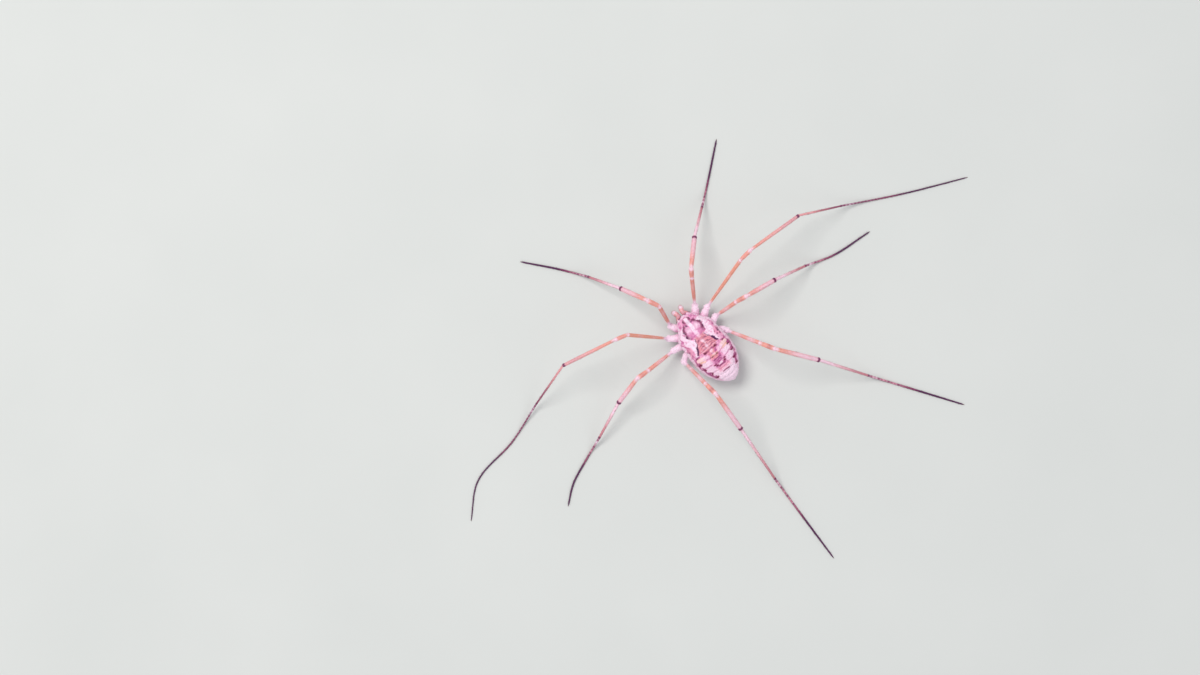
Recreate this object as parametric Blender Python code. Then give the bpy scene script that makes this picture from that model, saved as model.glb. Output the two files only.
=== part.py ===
"""A harvestman, Phalangium opilio: a female crouched at rest with her legs spread, at life size.

Blender 4.5, metres, +Z up. The animal faces -Y, so its right side is at -X. Places are written in
millimetres as (right, forward, up) in the animal's own plan, and place() turns them into the scene.
"""

import math

import bmesh
import bpy
import numpy as np
from mathutils import Vector

MM = 0.001
SEED = 7
GAP = 0.25  # between neighbouring pieces of the body
EYE_GAP = 0.1  # round each eye, in its socket

# Body, along the midline from the front edge of the carapace (forward 2.86) to the rear end.
WAIST = 0.5  # the joint of prosoma and abdomen
HALF_WIDTHS = (
    (-4.14, 0.2), (-4.08, 0.36), (-3.95, 0.58), (-3.49, 1.06), (-2.93, 1.46), (-2.44, 1.71), (-1.75, 1.88),
    (-1.05, 1.94), (0.0, 1.86), (0.56, 1.82), (1.0, 1.82), (1.4, 1.7), (1.75, 1.42),
    (2.1, 1.16), (2.58, 0.88), (2.86, 0.62),
)
BACKS = (
    (-4.14, 1.92), (-4.06, 2.08), (-3.8, 2.4), (-3.2, 2.9), (-2.4, 3.3), (-1.4, 3.48), (-0.5, 3.4),
    (0.5, 3.18), (1.4, 3.02), (2.1, 2.8), (2.5, 2.62), (2.86, 2.38),
)
BELLIES = (
    (-4.14, 1.58), (-4.06, 1.46), (-3.9, 1.3), (-3.4, 0.98), (-2.6, 0.7), (-1.7, 0.6), (-1.1, 0.75),
    (-0.6, 1.5), (0.5, 1.6), (2.1, 1.6), (2.5, 1.75), (2.86, 1.95),
)
FLANKS = ((-4.14, 1.74), (-2.4, 1.8), (-0.5, 2.0), (0.5, 2.1), (2.1, 2.12), (2.86, 2.17))
FLANK_ROUNDNESS = 0.8  # the power of the section's width: 1 is an ellipse, less is fuller
BACK_ROUNDNESS = 0.9
TERGITE_FURROWS = (-3.85, -3.5, -3.08, -2.6, -1.98, -1.37, -0.78, -0.2, 0.84, 1.2)
FURROW_DEPTH = 0.06
FURROW_WIDTH = 0.11
BODY_STATIONS = (-4.14, -4.08, -3.98, *np.arange(-3.6, 2.6, 0.33), 2.6, 2.75, 2.86)
BODY_SIDES = 28
CREASE = math.radians(50)  # edges sharper than this aren't smoothed over
DRAWN_OUT = 0.6  # how far a tube runs past its joints before they are cut
FOOT_SUNK = 0.02  # how much of a tarsus the flat under it takes away
STERNUM = ((0.0, 0.45, 1.35), (0.26, 1.5, 0.5))  # centre, and half-sizes

# Head
EYE_MOUND = ((0.0, 2.42, 2.6), (0.3, 0.36, 0.47))  # centre, and half-sizes
EYE_PLACE = (0.29, 2.46, 2.84)
EYE_RADIUS = 0.15
EYE_BACK = 0.27  # the eyes' flat inner faces, off the midline
SOCKET_OUTSIDE = 0.6  # where the tool that sinks an eye socket ends, off the midline

# Tubercles, coarser and fewer than the real ones: rows across the back, and two rows on the eye mound
TUBERCLE_RADIUS = 0.085
TUBERCLE_HEIGHT = 0.1
TUBERCLE_ROOT = 0.07  # how deep it is sunk
TUBERCLE_TIP = 0.4  # the tip's radius over the base's
TUBERCLE_ROWS = {"prosoma": (2.74, 1.03, 0.77), "abdomen": (-0.49, -1.08, -1.68, -2.29, -2.84)}
TUBERCLES_IN_ROW = 6
TUBERCLE_ARC = 0.62  # share of the half-turn over the back that a row spans
MOUND_TUBERCLES = ((0.12, 2.68), (0.13, 2.44), (0.12, 2.2))
MOUND_TUBERCLE_SIZE = 0.8
COXA_TUBERCLES = 5  # on the upper side of each
TURN_OF_SEEDS = 0.382  # the golden share of a turn, which keeps neighbours apart

# Pedipalps and chelicerae, as (place, radius)
PALP_TO_KNEE = (
    ((0.62, 2.66, 1.47), 0.18), ((0.45, 2.95, 1.68), 0.19), ((0.29, 3.25, 1.92), 0.18),
    ((0.34, 3.58, 1.95), 0.22),
)
PALP_TO_TIP = (
    ((0.34, 3.58, 1.95), 0.22), ((0.37, 3.62, 1.3), 0.2), ((0.37, 3.46, 0.8), 0.17),
    ((0.33, 3.12, 0.32), 0.1),
)
CHELICERA = (
    ((0.31, 2.12, 1.18), 0.18), ((0.31, 2.76, 1.06), 0.18), ((0.32, 2.9, 0.86), 0.2),
    ((0.3, 2.84, 0.58), 0.17),
)
CHELICERA_FINGERS = (
    (((0.34, 2.86, 0.66), 0.09), ((0.35, 2.86, 0.42), 0.07), ((0.25, 2.76, 0.22), 0.03)),
    (((0.26, 2.78, 0.66), 0.09), ((0.22, 2.68, 0.44), 0.07), ((0.21, 2.7, 0.24), 0.03)),
)

# Legs: roots beside the sternum, then for each leg its joints and the route of its tarsus.
COXA_ROOTS = {1: (0.7, 1.97, 0.86), 2: (0.62, 1.2, 0.95), 3: (0.62, 0.45, 0.95), 4: (0.62, -0.3, 0.95)}
SEGMENTS = ("coxa", "femur", "patella", "tibia", "metatarsus", "tarsus")
TROCHANTER_RADIUS = 0.33
TROCHANTER_SET_BACK = 0.3  # from its joint with the femur
RADII = {  # at the start, the middle and the end
    "coxa": (0.22, 0.33, 0.27),
    "femur": (0.25, 0.26, 0.26),
    "patella": (0.26, 0.3, 0.27),
    "tibia": (0.25, 0.28, 0.26),
    "metatarsus": (0.25, 0.25, 0.25),
    "tarsus": (0.25, 0.24, 0.15),
}
BOW = 0.03  # how far a long segment arches above its chord, over its length
TARSUS_LIFT = 0.8  # height of the joint that the tarsus starts from
TARSUS_FALL = 0.3  # share of the tarsus in which it comes down to the floor
LEGS = {
    "leg_1_right": {
        "coxa": (1.22, 2.64, 1.2),
        "joints": ((1.55, 3.1, 1.5), (2.8, 5.02, 3.9), (3.26, 5.67, 4.4), (5.27, 7.56, 2.6)),
        "tarsus": ((7.53, 9.17), (8.7, 10.04), (12.17, 12.78)),
    },
    "leg_2_right": {
        "coxa": (1.98, 2.05, 1.25),
        "joints": ((2.4, 2.21, 1.6), (7.01, 3.44, 5.4), (8.2, 3.54, 5.7), (13.37, 3.14, 3.5)),
        "tarsus": ((16.91, 1.34), (21.74, -1.31), (26.84, -3.77)),
    },
    "leg_3_right": {
        "coxa": (1.8, 0.9, 1.25),
        "joints": ((2.41, 1.05, 1.5), (4.43, 0.88, 3.9), (5.41, 0.69, 4.3), (8.24, 0.17, 3.0)),
        "tarsus": ((11.15, -0.64), (13.35, -1.43), (17.23, -1.93)),
    },
    "leg_4_right": {
        "coxa": (1.98, -0.15, 1.25),
        "joints": ((2.3, -0.68, 1.45), (3.68, -3.26, 5.0), (4.32, -4.42, 5.3), (6.67, -7.65, 3.3)),
        "tarsus": ((9.17, -11.56), (10.45, -13.52), (13.87, -18.77)),
    },
    "leg_1_left": {
        "coxa": (-1.15, 2.6, 1.2),
        "joints": ((-1.31, 3.09, 1.5), (-1.01, 4.92, 4.2), (-1.49, 5.98, 4.4), (-2.58, 8.26, 2.2)),
        "tarsus": ((-4.1, 10.9), (-5.3, 12.6), (-7.7, 15.6)),
    },
    "leg_2_left": {
        "coxa": (-1.86, 1.95, 1.25),
        "joints": ((-2.29, 2.33, 1.6), (-4.75, 4.8, 6.0), (-5.85, 5.14, 6.3), (-10.73, 6.32, 3.8)),
        "tarsus": ((-14.72, 5.24), (-18.29, 4.1), (-23.17, 3.25), (-25.55, 1.15)),
    },
    "leg_3_left": {
        "coxa": (-1.9, 1.0, 1.25),
        "joints": ((-2.76, 1.12, 1.5), (-5.42, 1.23, 3.4), (-6.52, 1.32, 3.6), (-9.15, 0.71, 2.1)),
        "tarsus": ((-12.43, -0.57), (-14.6, -1.33), (-16.8, -2.24), (-18.22, -3.32)),
    },
    "leg_4_left": {
        "coxa": (-1.96, 0.08, 1.25),
        "joints": ((-2.42, -0.4, 1.45), (-2.25, -2.91, 5.2), (-2.15, -4.11, 5.6), (-2.42, -7.88, 3.4)),
        "tarsus": ((-2.92, -13.23), (-3.15, -16.9), (-3.43, -21.7)),
    },
}

COLOURS = {  # base colour and roughness
    "body_cuticle": ((0.62, 0.4, 0.47), 0.6),
    "coxa_cuticle": ((0.78, 0.62, 0.68), 0.6),
    "leg_cuticle": ((0.72, 0.33, 0.24), 0.55),
    "tarsus_cuticle": ((0.12, 0.05, 0.07), 0.6),
    "eye": ((0.02, 0.015, 0.02), 0.15),
}
SLOTS = {
    "coxa": "coxa_cuticle", "femur": "leg_cuticle", "patella": "leg_cuticle",
    "tibia": "leg_cuticle", "metatarsus": "leg_cuticle", "tarsus": "tarsus_cuticle",
}

TIPS = np.array([leg["tarsus"][-1] for leg in LEGS.values()])
FOOTPRINT_MIDDLE = (TIPS.min(axis=0) + TIPS.max(axis=0)) / 2


def place(point):
    """The scene position, in metres, of a point (right, forward, up) in millimetres."""
    right, forward, up = point
    return Vector((FOOTPRINT_MIDDLE[0] - right, FOOTPRINT_MIDDLE[1] - forward, up)) * MM


def smooth(stations, wanted):
    """Values at the wanted places on a smooth curve through (place, value) stations."""
    places, values = np.array([s[0] for s in stations]), np.array([s[1] for s in stations], float)
    slopes = np.gradient(values, places, axis=0)
    i = np.clip(np.searchsorted(places, wanted) - 1, 0, len(places) - 2)
    span = places[i + 1] - places[i]
    t = np.clip((wanted - places[i]) / span, 0, 1)
    if values.ndim > 1:
        span, t = span[:, None], t[:, None]
    rise = values[i + 1] - values[i]
    start, end = slopes[i] * span, slopes[i + 1] * span
    return values[i] + t * start + t * t * (3 * rise - 2 * start - end) + t**3 * (start + end - 2 * rise)


def smooth_route(points, count):
    """Evenly spread points on a smooth curve through the given ones."""
    points = np.array(points, float)
    steps = np.linalg.norm(np.diff(points, axis=0), axis=1)
    along = np.concatenate([[0], np.cumsum(steps)])
    return smooth(list(zip(along, points)), np.linspace(0, along[-1], count))


def material(name):
    made = bpy.data.materials.get(name)
    if made is None:
        made = bpy.data.materials.new(name)
        made.use_nodes = True
        shader = made.node_tree.nodes["Principled BSDF"]
        colour, roughness = COLOURS[name]
        shader.inputs["Base Color"].default_value = (*colour, 1)
        shader.inputs["Roughness"].default_value = roughness
        shader.inputs["Metallic"].default_value = 0
        made.diffuse_color = (*colour, 1)
    return made


def add_object(name, mesh, collection):
    made = bpy.data.objects.new(name, mesh)
    collection.objects.link(made)
    return made


def move_to(obj, collection):
    for holder in obj.users_collection:
        holder.objects.unlink(obj)
    collection.objects.link(obj)


def finish(obj, slot):
    obj.data.materials.clear()
    obj.data.materials.append(material(slot))
    obj.data.shade_smooth()
    obj.data.set_sharp_from_angle(angle=CREASE)


def edit(obj, change):
    """Runs change on the object's mesh as a bmesh, then turns its faces outwards."""
    held = bmesh.new()
    held.from_mesh(obj.data)
    change(held)
    bmesh.ops.recalc_face_normals(held, faces=held.faces)
    held.to_mesh(obj.data)
    held.free()


def cut(obj, point, normal):
    """Removes what lies on the side of the plane that the normal points to, and closes the cut."""

    def change(held):
        everything = held.verts[:] + held.edges[:] + held.faces[:]
        bmesh.ops.bisect_plane(
            held, geom=everything, dist=1e-8, plane_co=point, plane_no=normal, clear_outer=True
        )
        rim = [edge for edge in held.edges if edge.is_boundary]
        bmesh.ops.holes_fill(held, edges=rim, sides=0)

    edit(obj, change)


def trim(obj, stations):
    """Cuts off what runs out past the first station, square to the way to the second."""
    end, inside = place(stations[0][0]), place(stations[1][0])
    cut(obj, end, end - inside)


def tube(name, stations, collection, rounds=3):
    """A closed tube through stations of (place, radius), with 4 + 2 * rounds sides."""
    curve = bpy.data.curves.new(name, "CURVE")
    curve.dimensions = "3D"
    curve.bevel_depth = MM
    curve.bevel_resolution = rounds
    curve.use_fill_caps = True
    spline = curve.splines.new("POLY")
    spline.points.add(len(stations) - 1)
    for point, (where, radius) in zip(spline.points, stations):
        point.co = (*place(where), 1)
        point.radius = radius
    guide = add_object(name + " guide", curve, collection)
    graph = bpy.context.evaluated_depsgraph_get()
    mesh = bpy.data.meshes.new_from_object(guide.evaluated_get(graph))
    made = add_object(name, mesh, collection)
    made.matrix_world = guide.matrix_world
    bpy.data.objects.remove(guide)
    edit(made, lambda held: bmesh.ops.remove_doubles(held, verts=held.verts, dist=1e-7))
    return made


def ball(name, centre, half_sizes, collection, segments=20, rings=12):
    """An ellipsoid with its poles up and down."""
    bpy.ops.mesh.primitive_uv_sphere_add(
        segments=segments, ring_count=rings, radius=MM, location=place(centre), scale=half_sizes
    )
    made = bpy.context.object
    made.name = name
    bpy.ops.object.transform_apply(location=False, rotation=False, scale=True)
    move_to(made, collection)
    return made


def combine(obj, others, operation):
    """Joins the others to the object, or takes them from it, by one Boolean, and removes them."""
    group = bpy.data.collections.new("operands")
    bpy.context.scene.collection.children.link(group)
    for other in others:
        move_to(other, group)
    step = obj.modifiers.new(operation, "BOOLEAN")
    step.operation = operation
    step.operand_type = "COLLECTION"
    step.collection = group
    graph = bpy.context.evaluated_depsgraph_get()
    mesh = bpy.data.meshes.new_from_object(obj.evaluated_get(graph))
    obj.modifiers.clear()
    obj.data = mesh
    for other in others:
        bpy.data.objects.remove(other)
    bpy.data.collections.remove(group)
    edit(obj, keep_largest)


def keep_largest(held):
    """Removes all but the largest closed surface of a bmesh."""
    left, surfaces = set(held.faces), []
    while left:
        surface, front = [], [left.pop()]
        while front:
            face = front.pop()
            surface.append(face)
            near = {other for side in face.edges for other in side.link_faces} & left
            left -= near
            front.extend(near)
        surfaces.append(surface)
    surfaces.sort(key=volume_of)
    scraps = [face for surface in surfaces[:-1] for face in surface]
    bmesh.ops.delete(held, geom=scraps, context="FACES")


def volume_of(surface):
    total = 0.0
    for face in surface:
        corners = [corner.co for corner in face.verts]
        for b, c in zip(corners[1:], corners[2:]):
            total += corners[0].dot(b.cross(c)) / 6
    return abs(total)


def body_loft(name, collection, grown=0.0):
    """The whole body: a section at each station along the midline, full at the flanks, with furrows.

    Right is half-width * |cos|^FLANK_ROUNDNESS, and up leaves the flank's height towards the back or
    the belly by |sin|^BACK_ROUNDNESS. grown widens it all round, for cutting clear of it.
    """
    plain, edges = np.array(BODY_STATIONS), np.array(TERGITE_FURROWS)
    clear = np.abs(plain[:, None] - edges).min(axis=1) > 1.6 * FURROW_WIDTH
    forward = np.concatenate([plain[clear], edges - FURROW_WIDTH, edges, edges + FURROW_WIDTH])
    forward.sort()
    turn = np.linspace(0, 2 * np.pi, BODY_SIDES, endpoint=False)[None, :]
    half, back = smooth(HALF_WIDTHS, forward)[:, None], smooth(BACKS, forward)[:, None]
    belly, flank = smooth(BELLIES, forward)[:, None], smooth(FLANKS, forward)[:, None]
    furrow = np.exp(-(((forward[:, None] - edges) / (FURROW_WIDTH / 2)) ** 2)).sum(axis=1)[:, None]
    inward = grown - FURROW_DEPTH * furrow * np.clip(0.35 + np.sin(turn), 0, 1)
    cosine, sine = np.cos(turn), np.sin(turn)
    right = (half + inward) * np.sign(cosine) * np.abs(cosine) ** FLANK_ROUNDNESS
    rise = np.where(sine > 0, back - flank + inward, flank - belly + grown)
    up = flank + rise * np.sign(sine) * np.abs(sine) ** BACK_ROUNDNESS
    ahead = np.broadcast_to(forward[:, None], right.shape).copy()
    ahead[0] -= grown
    ahead[-1] += grown
    held = bmesh.new()
    rings = [
        [held.verts.new(place(point)) for point in zip(right[i], ahead[i], up[i])]
        for i in range(len(forward))
    ]
    for first, second in zip(rings, rings[1:]):
        for k in range(BODY_SIDES):
            n = (k + 1) % BODY_SIDES
            held.faces.new((first[k], first[n], second[n], second[k]))
    held.faces.new(rings[0])
    held.faces.new(rings[-1])
    bmesh.ops.recalc_face_normals(held, faces=held.faces)
    mesh = bpy.data.meshes.new(name)
    held.to_mesh(mesh)
    held.free()
    return add_object(name, mesh, collection)


def tubercle(base, outward, size, cutters):
    """A blunt cone on a surface at base, leaning along outward, with its root sunk in."""
    way = Vector((-outward[0], -outward[1], outward[2])).normalized()
    sunk = size * TUBERCLE_ROOT
    tall = size * TUBERCLE_HEIGHT + sunk
    bpy.ops.mesh.primitive_cone_add(
        vertices=6,
        radius1=size * TUBERCLE_RADIUS * MM,
        radius2=TUBERCLE_TIP * size * TUBERCLE_RADIUS * MM,
        depth=tall * MM,
        location=place(base) + way * (tall / 2 - sunk) * MM,
        rotation=way.to_track_quat("Z", "Y").to_euler(),
    )
    made = bpy.context.object
    move_to(made, cutters)
    return made


def back_point(forward, turn):
    """The point of the body's plain surface at an angle over the back, and the way out of it."""
    half, back, flank = (smooth(table, np.array([forward]))[0] for table in (HALF_WIDTHS, BACKS, FLANKS))
    across = half * math.copysign(abs(math.cos(turn)) ** FLANK_ROUNDNESS, math.cos(turn))
    rise = (back - flank) * math.sin(turn) ** BACK_ROUNDNESS
    outward = (across / half**2, 0.25 * forward / half**2, rise / (back - flank) ** 2)
    return (across, forward, flank + rise), outward


def body_tubercles(name, chance, cutters):
    made = []
    for row in TUBERCLE_ROWS[name]:
        for k in range(TUBERCLES_IN_ROW):
            share = (k + 0.5) / TUBERCLES_IN_ROW + chance.uniform(-0.03, 0.03)
            turn = math.pi * (0.5 + TUBERCLE_ARC * (share - 0.5))
            base, outward = back_point(row + chance.uniform(-0.05, 0.05), turn)
            made.append(tubercle(base, outward, chance.uniform(0.8, 1.15), cutters))
    return made


def mound_tubercles(cutters):
    (_, middle, height), (half, length, rise) = EYE_MOUND
    made = []
    for across, forward in MOUND_TUBERCLES:
        up = height + rise * math.sqrt(1 - (across / half) ** 2 - ((forward - middle) / length) ** 2)
        for hand in (-1, 1):
            base = (hand * across, forward, up)
            outward = (hand * across / half**2, (forward - middle) / length**2, (up - height) / rise**2)
            made.append(tubercle(base, outward, MOUND_TUBERCLE_SIZE, cutters))
    return made


def coxa_tubercles(stations, chance, cutters):
    """Tubercles on the outer two thirds of a coxa, spread over its upper side."""
    made = []
    for k in range(COXA_TUBERCLES):
        i = 2 + k % (len(stations) - 3)
        here, radius = np.array(stations[i][0]), stations[i][1]
        along = np.array(stations[i + 1][0]) - here
        along /= np.linalg.norm(along)
        side = np.cross(along, (0, 0, 1))
        side /= np.linalg.norm(side)
        turn = math.radians(35 + 110 * (k * TURN_OF_SEEDS % 1) + chance.uniform(-8, 8))
        outward = math.cos(turn) * side + math.sin(turn) * np.cross(side, along)
        made.append(tubercle(here + radius * outward, outward, chance.uniform(0.85, 1.2), cutters))
    return made


def build_body(parts, cutters):
    """Prosoma and abdomen: one loft with the sternum under it, parted across the waist."""
    chance = np.random.default_rng(SEED)
    for name, side in (("prosoma", 1), ("abdomen", -1)):
        body = body_loft(name, parts)
        combine(body, [ball("sternum", *STERNUM, cutters)], "UNION")
        face = place((0, WAIST + side * GAP / 2, 0))
        cut(body, face, Vector((0, side, 0)))
        if side > 0:
            combine(body, [ball("eye mound", *EYE_MOUND, cutters)], "UNION")
            for hand in (-1, 1):
                combine(body, [eye_socket(hand, cutters)], "DIFFERENCE")
            combine(body, mound_tubercles(cutters), "UNION")
        combine(body, body_tubercles(name, chance, cutters), "UNION")
        finish(body, "body_cuticle")


def eye_socket(hand, cutters):
    """A round recess in the flank of the eye mound, as deep as the eye's inner face and its gap."""
    _, forward, up = EYE_PLACE
    inner, outer = EYE_BACK - EYE_GAP, SOCKET_OUTSIDE
    bpy.ops.mesh.primitive_cylinder_add(
        vertices=16,
        radius=(EYE_RADIUS + EYE_GAP) * MM,
        depth=(outer - inner) * MM,
        location=place((hand * (inner + outer) / 2, forward, up)),
        rotation=(0, math.pi / 2, 0),
    )
    made = bpy.context.object
    made.name = "eye socket"
    move_to(made, cutters)
    return made


def build_eyes(parts):
    for side, hand in (("left", -1), ("right", 1)):
        across, forward, up = EYE_PLACE
        eye = ball(f"eye_{side}", (hand * across, forward, up), [EYE_RADIUS] * 3, parts, 16, 10)
        bpy.ops.object.transform_apply(location=True, rotation=False, scale=False)
        cut(eye, place((hand * EYE_BACK, forward, up)), Vector((hand, 0, 0)))
        finish(eye, "eye")


def handed(stations, hand):
    return [((hand * p[0], p[1], p[2]), radius) for p, radius in stations]


def spread(stations, count):
    """More stations, on a smooth curve through the given ones."""
    rows = smooth_route([(*spot, radius) for spot, radius in stations], count)
    return [(tuple(row[:3]), row[3]) for row in rows]


def build_mouthparts(parts, cutters):
    """Pedipalps and chelicerae. A palp is parted at its knee, square to the bend."""
    knee = np.array(PALP_TO_KNEE[-1][0])
    before = knee - PALP_TO_KNEE[-2][0]
    after = np.array(PALP_TO_TIP[1][0]) - knee
    for side, hand in (("left", -1), ("right", 1)):
        normal = joint_normal(before * (hand, 1, 1), after * (hand, 1, 1))
        corner = place(knee * (hand, 1, 1))
        to_knee, to_tip = handed(PALP_TO_KNEE, hand), handed(PALP_TO_TIP, hand)
        upper = tube(f"pedipalp_{side}_femur", lengthened(spread(to_knee, 7)), parts)
        cut(upper, corner - normal * GAP / 2 * MM, normal)
        trim(upper, to_knee)
        lower = tube(f"pedipalp_{side}_tarsus", lengthened(spread(to_tip, 7)), parts)
        cut(lower, corner + normal * GAP / 2 * MM, -normal)
        trim(lower, to_tip[::-1])
        jaw = tube(f"chelicera_{side}", spread(handed(CHELICERA, hand), 10), parts)
        fingers = [tube("finger", spread(handed(f, hand), 5), cutters, 1) for f in CHELICERA_FINGERS]
        combine(jaw, fingers, "UNION")
        finish(upper, "leg_cuticle")
        finish(lower, "leg_cuticle")
        finish(jaw, "coxa_cuticle")


def lengthened(stations):
    """The stations with both ends drawn out straight, for a cut to trim."""
    (a, ra), (b, _) = stations[0], stations[1]
    (d, rd), (c, _) = stations[-1], stations[-2]
    a, b, c, d = (np.array(p, float) for p in (a, b, c, d))
    first = a + DRAWN_OUT * (a - b) / np.linalg.norm(a - b)
    last = d + DRAWN_OUT * (d - c) / np.linalg.norm(d - c)
    return [(first, ra), *stations, (last, rd)]


def joint_normal(before, after):
    """The unit normal, in the scene, of the plane that halves the bend between two directions."""
    before, after = np.array(before, float), np.array(after, float)
    both = before / np.linalg.norm(before) + after / np.linalg.norm(after)
    return Vector((-both[0], -both[1], both[2])).normalized()


def leg_routes(number, leg):
    """For each segment of a leg, its stations of (place, radius), from joint to joint."""
    coxa, joints = np.array(leg["coxa"]), [np.array(j, float) for j in leg["joints"]]
    hand = math.copysign(1, coxa[0])
    ankle = np.array((*leg["tarsus"][0], TARSUS_LIFT))
    corners = joints + [ankle]
    routes = {}
    start, middle, end = RADII["coxa"]
    root = np.array(COXA_ROOTS[number]) * (hand, 1, 1)
    femur_way = (joints[1] - joints[0]) / np.linalg.norm(joints[1] - joints[0])
    trochanter = joints[0] - TROCHANTER_SET_BACK * femur_way
    routes["coxa"] = spread([(root, start), (coxa, middle), (trochanter, end)], 6)
    for name, first, last in zip(SEGMENTS[1:5], corners, corners[1:]):
        share = np.linspace(0, 1, 4 if name == "patella" else 6)
        length = np.linalg.norm(last - first)
        points = first + share[:, None] * (last - first)
        points[:, 2] += BOW * length * 4 * share * (1 - share)
        radii = smooth(list(zip((0, 0.5, 1), RADII[name])), share)
        routes[name] = [(tuple(p), r) for p, r in zip(points, radii)]
    plan = smooth_route(leg["tarsus"], 16)
    share = np.linspace(0, 1, len(plan))
    radii = smooth(list(zip((0, 0.5, 1), RADII["tarsus"])), share)
    fall = np.clip(1 - share / TARSUS_FALL, 0, 1) ** 2
    ups = radii - FOOT_SUNK + (TARSUS_LIFT - radii) * fall
    routes["tarsus"] = [((*p, u), r) for p, u, r in zip(plan, ups, radii)]
    return routes


def build_leg(name, leg, chance, parts, cutters):
    """The six pieces of a leg, each joint parted by two faces in the plane that halves its bend."""
    number = int(name.split("_")[1])
    routes = leg_routes(number, leg)
    made = {"coxa": tube(f"{name}_coxa", routes["coxa"], parts)}
    bulb = ball("trochanter", routes["coxa"][-1][0], [TROCHANTER_RADIUS] * 3, cutters, 12, 8)
    combine(made["coxa"], [bulb], "UNION")
    for segment in SEGMENTS[1:]:
        made[segment] = tube(f"{name}_{segment}", lengthened(routes[segment]), parts)
    for first, second in zip(SEGMENTS, SEGMENTS[1:]):
        corner = place(routes[second][0][0])
        after = np.subtract(routes[second][1][0], routes[second][0][0])
        before = np.subtract(routes[first][-1][0], routes[first][-2][0])
        normal = joint_normal(after if first == "coxa" else before, after)
        cut(made[first], corner - normal * GAP / 2 * MM, normal)
        cut(made[second], corner + normal * GAP / 2 * MM, -normal)
    trim(made["tarsus"], routes["tarsus"][::-1])
    cut(made["tarsus"], Vector((0, 0, 0)), Vector((0, 0, -1)))
    combine(made["coxa"], coxa_tubercles(routes["coxa"], chance, cutters), "UNION")
    combine(made["coxa"], [body_loft("body clearance", cutters, grown=GAP)], "DIFFERENCE")
    for segment, piece in made.items():
        finish(piece, SLOTS[segment])


def main():
    for obj in list(bpy.data.objects):
        bpy.data.objects.remove(obj)
    parts = bpy.data.collections.new("harvestman")
    cutters = bpy.data.collections.new("cutters")
    for collection in (parts, cutters):
        bpy.context.scene.collection.children.link(collection)
    build_body(parts, cutters)
    build_eyes(parts)
    build_mouthparts(parts, cutters)
    chance = np.random.default_rng(SEED)
    for name, leg in LEGS.items():
        build_leg(name, leg, chance, parts, cutters)


main()
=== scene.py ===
"""A harvestman at life size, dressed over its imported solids: one skin, eyes, claws, denticles and hairs.

Sizes are in millimetres, and places are (right, forward, up) in the animal's own plan, until placed()
turns them into the scene's metres. The animal faces -Y, and its right side is at -X.
"""

import math

import bpy
import mathutils
import numpy as np
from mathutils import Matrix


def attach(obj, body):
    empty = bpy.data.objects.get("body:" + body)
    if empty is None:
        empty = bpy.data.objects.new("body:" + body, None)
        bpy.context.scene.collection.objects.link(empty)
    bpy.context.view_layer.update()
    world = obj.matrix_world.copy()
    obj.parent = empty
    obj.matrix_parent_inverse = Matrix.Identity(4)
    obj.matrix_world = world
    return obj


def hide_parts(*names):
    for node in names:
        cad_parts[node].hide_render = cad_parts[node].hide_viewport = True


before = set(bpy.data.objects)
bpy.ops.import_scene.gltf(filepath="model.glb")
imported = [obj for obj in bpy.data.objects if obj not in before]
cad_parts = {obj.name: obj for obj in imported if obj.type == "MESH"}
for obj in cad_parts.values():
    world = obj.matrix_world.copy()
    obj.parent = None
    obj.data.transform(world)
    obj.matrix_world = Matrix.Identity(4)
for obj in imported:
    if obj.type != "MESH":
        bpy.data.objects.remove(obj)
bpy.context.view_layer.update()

# The trunk
# Prosoma and abdomen make one low oval. Its back is covered by cross plates that lie edge to edge, with
# a furrow where two meet, and the skin of the sides is soft and pleated. It is a loft along the midline.
MM = 0.001
FOOTPRINT_MIDDLE = (0.645, -3.05)  # of the feet, in the animal's plan: the scene's origin
REAR, REAR_FINE, FRONT = -4.14, -3.9, 2.86  # the loft's ends, and where its close rear stations stop
HALF_WIDTHS = (  # (forward, half-width), and so in the heights of the back, the belly and the flanks
    (-4.14, 0.2), (-4.08, 0.36), (-3.95, 0.58), (-3.49, 1.06), (-2.93, 1.46), (-2.44, 1.71), (-1.75, 1.88),
    (-1.05, 1.94), (0.0, 1.86), (0.56, 1.82), (1.0, 1.82), (1.4, 1.7), (1.75, 1.42),
    (2.1, 1.16), (2.58, 0.88), (2.86, 0.62),
)
BACKS = (
    (-4.14, 1.92), (-4.06, 2.08), (-3.8, 2.4), (-3.2, 2.9), (-2.4, 3.3), (-1.4, 3.48), (-0.5, 3.4),
    (0.5, 3.18), (1.4, 3.02), (2.1, 2.8), (2.5, 2.62), (2.86, 2.38),
)
BELLIES = (
    (-4.14, 1.58), (-4.06, 1.46), (-3.9, 1.3), (-3.4, 0.98), (-2.6, 0.7), (-1.7, 0.6), (-1.15, 0.72),
    (-0.75, 1.0), (-0.4, 1.27), (0.5, 1.36), (2.1, 1.4), (2.5, 1.6), (2.86, 1.9),
)
FLANKS = ((-4.14, 1.74), (-2.4, 1.8), (-0.5, 2.0), (0.5, 2.1), (2.1, 2.12), (2.86, 2.17))
FLANK_ROUNDNESS = 0.8
BACK_ROUNDNESS = 0.9
FURROWS = np.array((-3.85, -3.5, -3.08, -2.6, -1.98, -1.37, -0.78, -0.2, 0.42, 0.84, 1.2))
FURROW_DEPTHS = np.array((0.04, 0.05, 0.055, 0.055, 0.055, 0.055, 0.055, 0.04, 0.05, 0.05, 0.06))
FURROW_REACH = 0.05  # half its width
FURROW_WAVE = 0.03
FURROW_BEND = 0.22  # how much further back a furrow of the abdomen lies in the middle than 1 mm out
BEND_ROUND = 0.04
RIM_HEIGHT = 0.022  # the raised rear edge of a plate, just ahead of its furrow
RIM_SET_AHEAD = 0.12
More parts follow.
